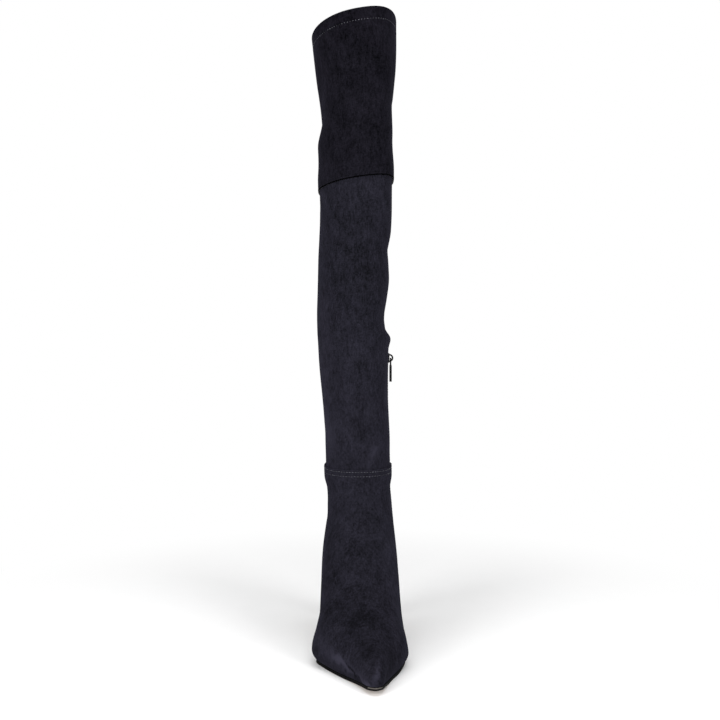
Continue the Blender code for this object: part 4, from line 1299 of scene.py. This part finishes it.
class BootSizes(bpy.types.PropertyGroup):
    """Sizes of the sewing and the trim."""

    stitch_length: length("Stitch Length", "Length of one stitch", 0.0019)
    stitch_pitch: length("Stitch Pitch", "Distance from one stitch to the next", 0.0031)
    thread_width: length("Thread Width", "Width of the sewing thread", 0.0006)
    seam_row: length("Seam Row", "Distance of a lap's first row from its edge", 0.0022)
    row_gap: length("Row Gap", "Distance between a seam's two rows", 0.0045)
    hem_row: length("Hem Row", "Distance of the hem's row below the collar", 0.0125)
    hem_turn: length("Hem Turn", "Depth of suede turned in at the collar", 0.016)
    zip_row: length("Zip Row", "Distance of the zip's nearer row from its middle", 0.0062)
    zip_far_row: length("Zip Far Row", "Distance of the zip's farther row from its middle", 0.0135)
    tooth_pitch: length("Tooth Pitch", "Distance from one zip tooth to the next", 0.0016)
    # The cuff's black edge paint, which also paints the shade of the knee seam.
    edge_paint: length("Edge Paint", "Height of the cuff's painted lower edge", 0.0009)
    raw_edge: length("Raw Edge", "Length of the sole's unpainted edge at the toe", 0.0045)
    # Length of the painted highlight on the sole's rim at the toe.
    binding_radius: length("Binding Radius", "Radius of the rolled edge beside the zip", 0.0006)
    blade_swell: FloatProperty(
        name="Blade Swell", description="Share by which the pull tab's blade is thicker than its eye",
        default=0.65)


class BootColours(bpy.types.PropertyGroup):
    """Colours of the finishes."""

    suede_dark: colour("Suede Dark", "Brushed-down nap of the foot and shaft", (0.0038, 0.0038, 0.0050))
    suede_light: colour("Suede Light", "Raised nap of the foot and shaft", (0.0172, 0.0164, 0.0242))
    thigh_dark: colour("Thigh Dark", "Brushed-down nap of the cuff", (0.0012, 0.0012, 0.0016))
    thigh_light: colour("Thigh Light", "Raised nap of the cuff", (0.0100, 0.0092, 0.0134))
    thread: colour("Thread", "Sewing thread", (0.045, 0.046, 0.052))
    sole_edge: colour("Sole Edge", "Painted edge of the sole", (0.0025, 0.0025, 0.0025))
    underside: colour("Underside", "Leather under the sole", (0.23, 0.15, 0.095))


class BootStage(bpy.types.PropertyGroup):
    """The stage's light and the camera's place."""

    camera_distance: length("Camera Distance", "From the camera to the boot's origin", 0.978)
    camera_height: length("Camera Height", "Height of the level camera", 0.307)
    lens: FloatProperty(
        name="Lens", description="Focal length on a 36 mm sensor, in millimetres", default=43.0)
    left_light: softbox_power("Left", 34.0)
    right_light: softbox_power("Right", 26.0)
    front_light: softbox_power("Front", 10.0)
    top_light: softbox_power("Top", 26.0)
    seed: IntProperty(name="Seed", description="Seed of the uneven stitches", default=7)


class BOOT_OT_upper(bpy.types.Operator):
    """Vamp and quarters, from the feather edge to their lap over the ankle seam"""

    bl_idname = "boot.upper"
    bl_label = "Upper"

    def execute(self, context):
        finish = boot_materials(context)
        foot, foot_heights = foot_rings(np.linspace(0, 1, FOOT_RINGS) ** 1.15)
        low = ANKLE_SEAM - SEAM_LAP - LAP_RAMP
        lap = even_levels(low, ANKLE_SEAM - 0.5 * WALL)[1:-1] + edge_levels(ANKLE_SEAM, -1)[::-1]
        leg, leg_heights = leg_rings(lap)
        rings, heights = np.concatenate((foot, leg)), np.concatenate((foot_heights, leg_heights))
        finishes = [finish["suede"], finish["lining"]]
        shell = build_wall("upper", rings, heights, True, SEAM_LAP, finishes)
        finished(slotted(shell), "boot", "suede", "upper")
        return {"FINISHED"}


class BOOT_OT_shaft(bpy.types.Operator):
    """The leg's wall from the ankle seam to the knee seam"""

    bl_idname = "boot.shaft"
    bl_label = "Shaft"

    def execute(self, context):
        finish = boot_materials(context)
        low, high = ANKLE_SEAM - SEAM_LAP + GAP, KNEE_SEAM + SEAM_LAP - GAP
        shell = leg_wall("shaft", low, high, SEAM_LAP, [finish["suede"], finish["lining"]])
        finished(slotted(shell), "boot", "suede", "shaft")
        return {"FINISHED"}


class BOOT_OT_cuff(bpy.types.Operator):
    """The thigh cuff, from its lap over the knee seam to the open collar"""

    bl_idname = "boot.cuff"
    bl_label = "Thigh Cuff"

    def execute(self, context):
        finish = boot_materials(context)
        sizes = context.scene.boot_sizes
        finishes = [finish["thigh_suede"], finish["lining"], finish["edge_paint"]]
        shell = leg_wall("thigh_cuff", KNEE_SEAM, BOOT_HEIGHT, sizes.hem_turn, finishes, sizes.edge_paint)
        finished(shell, "boot", "thigh_suede", "thigh_cuff")
        return {"FINISHED"}


class BOOT_OT_stitches(bpy.types.Operator):
    """Every row of stitches: hem, knee seam, ankle seam and both sides of the zip"""

    bl_idname = "boot.stitches"
    bl_label = "Stitches"

    def execute(self, context):
        sizes, seed = context.scene.boot_sizes, context.scene.boot_stage.seed
        finish = boot_materials(context)
        thread, matched = finish["thread"], finish["matched_thread"]
        sink = -STITCH_SINK * sizes.thread_width
        hem = on_wall("thigh_cuff", dressed_ring("thigh_cuff", BOOT_HEIGHT - sizes.hem_row), sink)
        knee = on_wall("thigh_cuff", dressed_ring("thigh_cuff", KNEE_SEAM + sizes.seam_row), sink)
        first = ANKLE_SEAM - sizes.seam_row
        ankle = on_wall("upper", dressed_ring("upper", first), 0.0)
        ankle += on_wall("upper", dressed_ring("upper", first - sizes.row_gap), sink)
        beside = []
        for across in (-sizes.zip_far_row, -sizes.zip_row, sizes.zip_row, sizes.zip_far_row):
            for wall, low, high in (
                ("upper", ZIP_BOTTOM - ZIP_ROW_PAST_END, ANKLE_SEAM - ZIP_ROW_OFF_SEAM),
                ("shaft", ANKLE_SEAM + ZIP_ROW_OFF_SEAM, ZIP_TOP + ZIP_ROW_PAST_END),
            ):
                beside += on_wall(wall, beside_zip(wall, low, high, across, 0.0)[:2], sink, False)
        size = (sizes.stitch_length, sizes.thread_width, sizes.thread_width)
        short = (SHORT_STITCH * sizes.stitch_length, sizes.thread_width, sizes.thread_width)
        plain = {"Pitch": sizes.stitch_pitch, "Unevenness": STITCH_UNEVENNESS, "Seed": seed}
        for name, rows, slot, yarn, turn, span in (
            ("hem_stitches", hem, "thigh_suede", thread, HEM_STITCH_TURN, short),
            ("knee_stitches", knee, "thigh_suede", matched, 0.0, size),
            ("ankle_stitches", ankle, "suede", thread, ANKLE_STITCH_TURN, short),
            ("zip_stitches", beside, "suede", matched, 0.0, size),
        ):
            row = bars_along(name, rows, Material=yarn, Turn=turn, Size=span, **plain)
            finished(row, "boot", slot)
        return {"FINISHED"}


class BOOT_OT_sole(bpy.types.Operator):
    """The outsole with its painted edge, and the insole"""

    bl_idname = "boot.sole"
    bl_label = "Sole"

    def execute(self, context):
        finish = boot_materials(context)
        sizes = context.scene.boot_sizes
        line = foot_rings((0.0,))[0][0]
        ahead = np.roll(line, -1, axis=0) - np.roll(line, 1, axis=0)
        normal = unit(np.stack((ahead[:, 1], -ahead[:, 0]), axis=1))
        section = (
            # off the feather edge, below the sole's upper face
            (SOLE_EDGE - 0.0035, SOLE_THICKNESS),
            (SOLE_EDGE - 0.0007, SOLE_THICKNESS),
            (SOLE_EDGE - 0.0003, SOLE_THICKNESS - 0.00012),
            (SOLE_EDGE - 0.0001, SOLE_THICKNESS - 0.0004),
            (SOLE_EDGE, SOLE_THICKNESS - 0.0008),
            (SOLE_EDGE, 0.0012),
            (SOLE_EDGE, 0.0006),
            (SOLE_EDGE - 0.00012, 0.0002),
            (SOLE_EDGE - 0.0004, 0.0),
        )
        rings = []
        for off, down in section:
            flat = line[:, :2] + normal * off
            rings.append(np.stack((flat[:, 0], flat[:, 1], sole_top(flat[:, 1]) - down), axis=1))
        count = len(line)
        faces = strip_loft(count, len(rings))
        first_band = count // 2
        under = first_band + 2 * count
        painted = [1] * under + [0] * (len(faces) - under)
        # The painted highlight on the sole's rim, at the toe tip only.
        toe = [j for j in range(count) if line[j, 1] < TOE_Y + sizes.raw_edge]
        for band in TOE_HIGHLIGHT_BANDS:
            for j in toe:
                painted[first_band + band * count + j] = 2
        sole = add_mesh(
            "outsole_dressed", np.concatenate(rings), faces,
            [finish["sole_leather"], finish["sole_underside"], finish["raw_edge"]], painted)
        finished(sole, "boot", "sole_leather", "outsole")
        insole = frame["nodes"]["insole"]
        insole.data.materials.clear()
        insole.data.materials.append(finish["lining"])
        return {"FINISHED"}


class BOOT_OT_heel(bpy.types.Operator):
    """The suede covered heel and its rubber tip"""

    bl_idname = "boot.heel"
    bl_label = "Heel"

    def execute(self, context):
        finish = boot_materials(context)
        points, rows = 72, 64
        turn = np.linspace(0, 2 * np.pi, points, endpoint=False)
        power = 2 / HEEL_SQUARENESS
        across = np.sign(np.sin(turn)) * np.abs(np.sin(turn)) ** power
        along = np.sign(np.cos(turn)) * np.abs(np.cos(turn)) ** power
        seat_half = 0.5 * (feather_in(0.12) - feather_out(0.12)) * BALL_WIDTH
        low = HEEL_TIP_THICKNESS + GAP
        rings = []
        for down in np.linspace(1, 0, rows):
            back, front = heel_back(down) * HEEL_SEAT_LENGTH, heel_front(down) * HEEL_SEAT_LENGTH
            x = heel_half(down) * seat_half * across
            y = 0.5 * (back + front) - 0.5 * (back - front) * along
            seat = sole_top(y) - SOLE_THICKNESS - GAP
            rings.append(np.stack((x, y, seat + (low - seat) * down), axis=1))
        faces = strip_loft(points, rows)
        heel = add_mesh("heel_cover", np.concatenate(rings), faces, [finish["suede"]])
        finished(heel, "boot", "suede", "heel")
        half_width, half_length = 0.5 * HEEL_TIP_WIDTH, 0.5 * HEEL_TIP_LENGTH
        edge = (
            # drawn in, height
            (0.0006, 0.0), (0.00018, 0.00018), (0.0, 0.0006), (0.0, HEEL_TIP_THICKNESS - 0.0005),
            (0.00015, HEEL_TIP_THICKNESS - 0.00012), (0.0005, HEEL_TIP_THICKNESS),
        )
        rings = [
            np.stack((across * (half_width - inset), -along * (half_length - inset), 0 * along + z), axis=1)
            for inset, z in edge
        ]
        tip = closed_loft("heel_tip_dressed", rings, [finish["tip_rubber"]])
        finished(tip, "boot", "tip_rubber", "heel_tip")
        return {"FINISHED"}


class BOOT_OT_zip(bpy.types.Operator):
    """The closed zip: tape, teeth, end stops and the rolled suede edges beside it"""

    bl_idname = "boot.zip"
    bl_label = "Zip"

    def execute(self, context):
        finish = boot_materials(context)
        sizes = context.scene.boot_sizes
        face = -WALL - ZIP_TAPE_GAP
        across = np.linspace(-0.5, 0.5, TAPE_COLUMNS) * ZIP_TAPE_WIDTH
        stations = np.linspace(ZIP_BOTTOM - ZIP_TAPE_END, ZIP_TOP + ZIP_TAPE_END, TAPE_ROWS)
        cord = CORD_RISE * np.exp(-(((np.abs(across) - CORD_ACROSS) / CORD_WIDTH) ** 2))
        z, spread = np.meshgrid(stations, across, indexing="ij")
        front = off_inner_side(zip_y(z) + spread, z, face + cord + 0 * z)
        behind = off_inner_side(zip_y(z) + spread, z, face - ZIP_TAPE_THICKNESS + 0 * z)
        rings = np.concatenate((front, behind[:, ::-1]), axis=1)
        tape = closed_loft("zip_tape", rings, [finish["zip_tape"]])
        paths = []
        for side, start in ((-1, 0.0), (1, 0.5)):
            ends = ZIP_BOTTOM + TOOTH_END_GAP + start * sizes.tooth_pitch, ZIP_TOP - TOOTH_END_GAP
            paths.append(beside_zip("shaft", *ends, side * TOOTH_ACROSS, -TOOTH_DEPTH))
        teeth = bars_along(
            "zip_teeth", paths, Material=finish["zip_teeth"], Pitch=sizes.tooth_pitch, Size=TOOTH_SIZE,
            Squareness=0.45, Turn=0.0, Unevenness=0.0)
        stops = []
        top, bottom = ZIP_TOP - TOP_STOP_DROP, ZIP_BOTTOM + BOTTOM_STOP_RISE
        for z, side in ((top, -1), (top, 1), (bottom, 0)):
            ends = z - STOP_LINE, z + STOP_LINE
            stops.append(beside_zip("shaft", *ends, side * STOP_ACROSS, -STOP_DEPTH))
        clamps = bars_along(
            "zip_stops", stops, Material=finish["black_metal"], Pitch=0.01, Size=STOP_SIZE, Squareness=0.6,
            Turn=0.0, Unevenness=0.0)
        for thing in (tape, teeth, clamps):
            finished(thing, "boot", "zip_tape" if thing is tape else "black_metal")
        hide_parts("zip")
        half, sink = 0.5 * ZIP_SLOT_WIDTH + BINDING_BACK, -BINDING_SINK
        bend = np.linspace(0.5 * np.pi, -0.5 * np.pi, 9)[1:-1]
        for wall, end in (("upper", ZIP_BOTTOM), ("shaft", ZIP_TOP)):
            z = np.linspace(ANKLE_SEAM, end, 40)
            up = np.concatenate((z, end + 0 * bend, z[::-1]))
            off = np.concatenate((half + 0 * z, half * np.sin(bend), -half + 0 * z))
            y = zip_y(up) + off
            out = inner_side_normal(y, up)
            line = inner_side_point(y, up) + out * (wall_offset(wall, up) + sink)[:, None]
            edge = tube_along("zip_edge_" + wall, line, out, sizes.binding_radius, [finish["suede"]])
            finished(edge, "boot", "suede")
        return {"FINISHED"}


class BOOT_OT_slider(bpy.types.Operator):
    """The zip's slider, and the pull tab that hangs in its bridge"""

    bl_idname = "boot.slider"
    bl_label = "Slider and Pull Tab"

    def execute(self, context):
        metal = boot_materials(context)["black_metal"]
        low, across = np.meshgrid(
            SLIDER_HEIGHT + 0.5 * SLIDER_LENGTH * np.linspace(-1, 1, 5),
            zip_y(SLIDER_HEIGHT) + 0.5 * SLIDER_WIDTH * np.linspace(-1, 1, 5),
        )
        centre = inner_side_point(np.array(zip_y(SLIDER_HEIGHT)), np.array(SLIDER_HEIGHT))
        centre[0] = side_x(across, low, 1).max()

        def placed(across, up, out):
            return centre + np.array((out, across, up))

        top, half = 0.5 * SLIDER_LENGTH, 0.5 * SLIDER_WIDTH
        waist = curve_through([(up, half - share * SLIDER_TAPER) for up, share in SLIDER_OUTLINE], 1)
        right = [(float(waist(up)), up * top) for up in np.linspace(-1, 1, 15)]
        outline = right + [(-across, up) for across, up in right[::-1]]
        face = SLIDER_LIFT + SLIDER_THICKNESS
        plates = [np.array([placed(a, b, out) for a, b in outline]) for out in (SLIDER_LIFT, face)]
        body = closed_loft("zip_slider_body", plates, [metal])
        turn = np.linspace(0, np.pi, 25)
        reach, sunk = 0.5 * BRIDGE_LENGTH, face - BRIDGE_SINK
        thin = BRIDGE_THICKNESS
        wide, rise = reach + BRIDGE_SWELL, BRIDGE_RISE + BRIDGE_SWELL
        arch = [(wide, sunk)] + [(wide * np.cos(a), face + rise * np.sin(a)) for a in turn]
        arch += [(-wide, sunk), (thin - reach, sunk)]
        arch += [((thin - reach) * np.cos(a), face + (BRIDGE_RISE - thin) * np.sin(a)) for a in turn]
        arch += [(reach - thin, sunk)]
        sides = -0.5 * BRIDGE_WIDTH, 0.5 * BRIDGE_WIDTH
        cheeks = [np.array([placed(side, up, out) for up, out in arch]) for side in sides]
        bridge = closed_loft("zip_slider_bridge", cheeks, [metal])
        for thing, width in ((body, SLIDER_BEVEL), (bridge, BRIDGE_BEVEL)):
            bevel = thing.modifiers.new("Edges", "BEVEL")
            bevel.width = width
            bevel.segments = 3
            bevel.limit_method = "ANGLE"
            bevel.angle_limit = np.radians(40)
            applied(thing)
            thing.data.shade_smooth()
        slider = joined("zip_slider_dressed", [body, bridge])
        finished(slider, "boot", "black_metal", "zip_slider")
        tab = pull_tab(placed(0.0, -PIVOT_DROP, face + PIVOT_RISE), metal)
        finished(tab, "pull_tab", "black_metal", "zip_pull")
        return {"FINISHED"}


def pull_tab(pivot, metal):
    """The pull tab as a rounded plate with an eye, from a flat curve with a hole in it."""
    eye, blade, edge = 0.5 * PULL_EYE_WIDTH, 0.5 * PULL_BLADE_WIDTH, PULL_EDGE
    end, bar = 0.5 * PULL_BAR - PULL_LENGTH, 0.5 * PULL_BAR
    neck, shoulder = -PULL_EYE_REACH - PULL_BAR, -PULL_SHOULDER_DROP
    width = curve_through(
        ((end + blade, blade), (neck - PULL_NECK_LENGTH, 0.86 * blade), (neck, 0.72 * blade),
         (-PULL_EYE_REACH + 0.0006, eye), (shoulder, eye)), 1)
    right = [(float(width(up)), up) for up in np.linspace(end + blade, shoulder, 26)]
    turn = np.linspace(0, np.pi, 17)
    for a in np.linspace(0, 0.5 * np.pi, 6):
        right.append((eye - PULL_SHOULDER * (1 - np.cos(a)), shoulder + (bar - shoulder) * np.sin(a)))
    outline = right + [(-across, up) for across, up in right[::-1]]
    outline += [(-blade * np.cos(a), end + blade - blade * np.sin(a)) for a in turn[1:-1]]
    hole_half, top, low = 0.5 * PULL_EYE_HOLE_WIDTH, -bar, -PULL_EYE_REACH
    soft = PULL_HOLE_CORNER
    hole = []
    for cx, cz, start in ((hole_half - soft, top - soft, 0), (soft - hole_half, top - soft, 1),
                          (soft - hole_half, low + soft, 2), (hole_half - soft, low + soft, 3)):
        for a in np.linspace(0, 0.5 * np.pi, 5) + start * 0.5 * np.pi:
            hole.append((cx + soft * np.cos(a), cz + soft * np.sin(a)))
    flat = bpy.data.curves.new("pull_outline", "CURVE")
    flat.dimensions = "2D"
    flat.fill_mode = "BOTH"
    flat.extrude = 0.5 * PULL_THICKNESS - edge
    flat.bevel_depth = edge
    flat.bevel_resolution = 2
    flat.offset = -edge
    for ring in (outline, hole):
        spline = flat.splines.new("POLY")
        spline.points.add(len(ring) - 1)
        for point, (a, b) in zip(spline.points, ring):
            point.co = (a, b, 0, 1)
        spline.use_cyclic_u = True
    shape = new_object("pull_outline", flat)
    evaluated = shape.evaluated_get(bpy.context.evaluated_depsgraph_get())
    mesh = bpy.data.meshes.new_from_object(evaluated)
    bpy.data.objects.remove(shape)
    upright = Matrix(((0, 0, 1, pivot[0]), (1, 0, 0, pivot[1]), (0, 1, 0, pivot[2]), (0, 0, 0, 1)))
    swell = bpy.context.scene.boot_sizes.blade_swell
    for vertex in mesh.vertices:
        vertex.co.z *= 1 + swell * smooth_step(0, PULL_BAR, neck - vertex.co.y)
    mesh.transform(upright)
    mesh.materials.clear()
    mesh.materials.append(metal)
    mesh.shade_smooth()
    mesh.set_sharp_from_angle(angle=np.radians(60))
    return welded(new_object("zip_pull_dressed", mesh))


def softbox(name, place, aim, size, power):
    """A square area light."""
    light = bpy.data.lights.new(name, "AREA")
    light.shape = "RECTANGLE"
    light.size, light.size_y = size
    light.energy = power
    lamp = new_object(name, light)
    lamp.location = place
    lamp.rotation_mode = "QUATERNION"
    lamp.rotation_quaternion = (Vector(aim) - Vector(place)).to_track_quat("-Z", "Y")


class BOOT_OT_stage(bpy.types.Operator):
    """White floor, soft studio light and the camera at the photograph's angle"""

    bl_idname = "boot.stage"
    bl_label = "Stage"

    def execute(self, context):
        stage = context.scene.boot_stage
        floor_material, tree, shader = new_material("studio_white", 0.7, Specular_IOR_Level=0.2)
        where = object_place(tree)
        tint = map_range(tree, noise(tree, where, 30.0), target=(0.88, 0.9))
        tree.links.new(tint, shader.inputs["Base Color"])
        reach = add_node(tree, "ShaderNodeVectorMath", {0: where}, operation="LENGTH").outputs["Value"]
        paper = map_range(tree, reach, FLOOR_GLOW_RANGE, interpolation_type="SMOOTHSTEP")
        white = {"Color": (1, 1, 1, 1), "Strength": 1.0}
        glow = add_node(tree, "ShaderNodeEmission", white).outputs[0]
        mixed = add_node(tree, "ShaderNodeMixShader", {0: paper, 1: shader.outputs[0], 2: glow}).outputs[0]
        tree.links.new(mixed, tree.nodes["Material Output"].inputs["Surface"])
        line = np.linspace(-FLOOR_REACH, FLOOR_REACH, FLOOR_STEPS + 1)
        points = [(x, y, 0.0) for y in line for x in line]
        row = FLOOR_STEPS + 1
        corners = [r * row + c for r in range(FLOOR_STEPS) for c in range(FLOOR_STEPS)]
        faces = [(a, a + 1, a + row + 1, a + row) for a in corners]
        add_mesh("studio_floor", points, faces, [floor_material])
        powers = stage.left_light, stage.right_light, stage.front_light, stage.top_light
        for (name, place, aim, size), power in zip(SOFTBOXES, powers):
            softbox(name, place, aim, size, power)
        world = context.scene.world or bpy.data.worlds.new("studio")
        context.scene.world = world
        world.use_nodes = True
        sky = world.node_tree
        sky.nodes.clear()
        seen = add_node(sky, "ShaderNodeBackground", white).outputs[0]
        shine = add_node(sky, "ShaderNodeBackground", {**white, "Strength": WORLD_SHINE}).outputs[0]
        camera_ray = add_node(sky, "ShaderNodeLightPath").outputs["Is Camera Ray"]
        mixed = add_node(sky, "ShaderNodeMixShader", {0: camera_ray, 1: shine, 2: seen}).outputs[0]
        add_node(sky, "ShaderNodeOutputWorld", {"Surface": mixed})
        context.scene.view_settings.view_transform = "Standard"
        lens = bpy.data.cameras.new("camera")
        lens.lens = stage.lens
        lens.sensor_width = 36.0
        lens.shift_y = LENS_RISE
        camera = new_object("camera", lens)
        camera.location = (FOOT_AXIS_SHIFT, -stage.camera_distance, stage.camera_height)
        camera.rotation_euler = (0.5 * np.pi, 0.0, 0.0)
        context.scene.camera = camera
        return {"FINISHED"}


class BOOT_PT_panel(bpy.types.Panel):
    """The boot's sizes, colours and building steps"""

    bl_label = "Boot"
    bl_idname = "BOOT_PT_panel"
    bl_space_type = "VIEW_3D"
    bl_region_type = "UI"
    bl_category = "Boot"

    def draw(self, context):
        for group in (context.scene.boot_sizes, context.scene.boot_colours, context.scene.boot_stage):
            box = self.layout.box()
            for name in group.bl_rna.properties.keys():
                if name not in ("rna_type", "name"):
                    box.prop(group, name)
        for operator in OPERATORS:
            self.layout.operator(operator.bl_idname)


OPERATORS = (
    BOOT_OT_upper,
    BOOT_OT_shaft,
    BOOT_OT_cuff,
    BOOT_OT_stitches,
    BOOT_OT_sole,
    BOOT_OT_heel,
    BOOT_OT_zip,
    BOOT_OT_slider,
    BOOT_OT_stage,
)
CLASSES = (BootSizes, BootColours, BootStage, *OPERATORS, BOOT_PT_panel)


def register():
    for entry in CLASSES:
        bpy.utils.register_class(entry)
    bpy.types.Scene.boot_sizes = PointerProperty(type=BootSizes)
    bpy.types.Scene.boot_colours = PointerProperty(type=BootColours)
    bpy.types.Scene.boot_stage = PointerProperty(type=BootStage)


def unregister():
    del bpy.types.Scene.boot_stage
    del bpy.types.Scene.boot_colours
    del bpy.types.Scene.boot_sizes
    for entry in reversed(CLASSES):
        bpy.utils.unregister_class(entry)


def main():
    register()
    bpy.ops.boot.upper()
    bpy.ops.boot.shaft()
    bpy.ops.boot.cuff()
    bpy.ops.boot.stitches()
    bpy.ops.boot.sole()
    bpy.ops.boot.heel()
    bpy.ops.boot.zip()
    bpy.ops.boot.slider()
    bpy.ops.boot.stage()


if __name__ == "__main__":
    main()
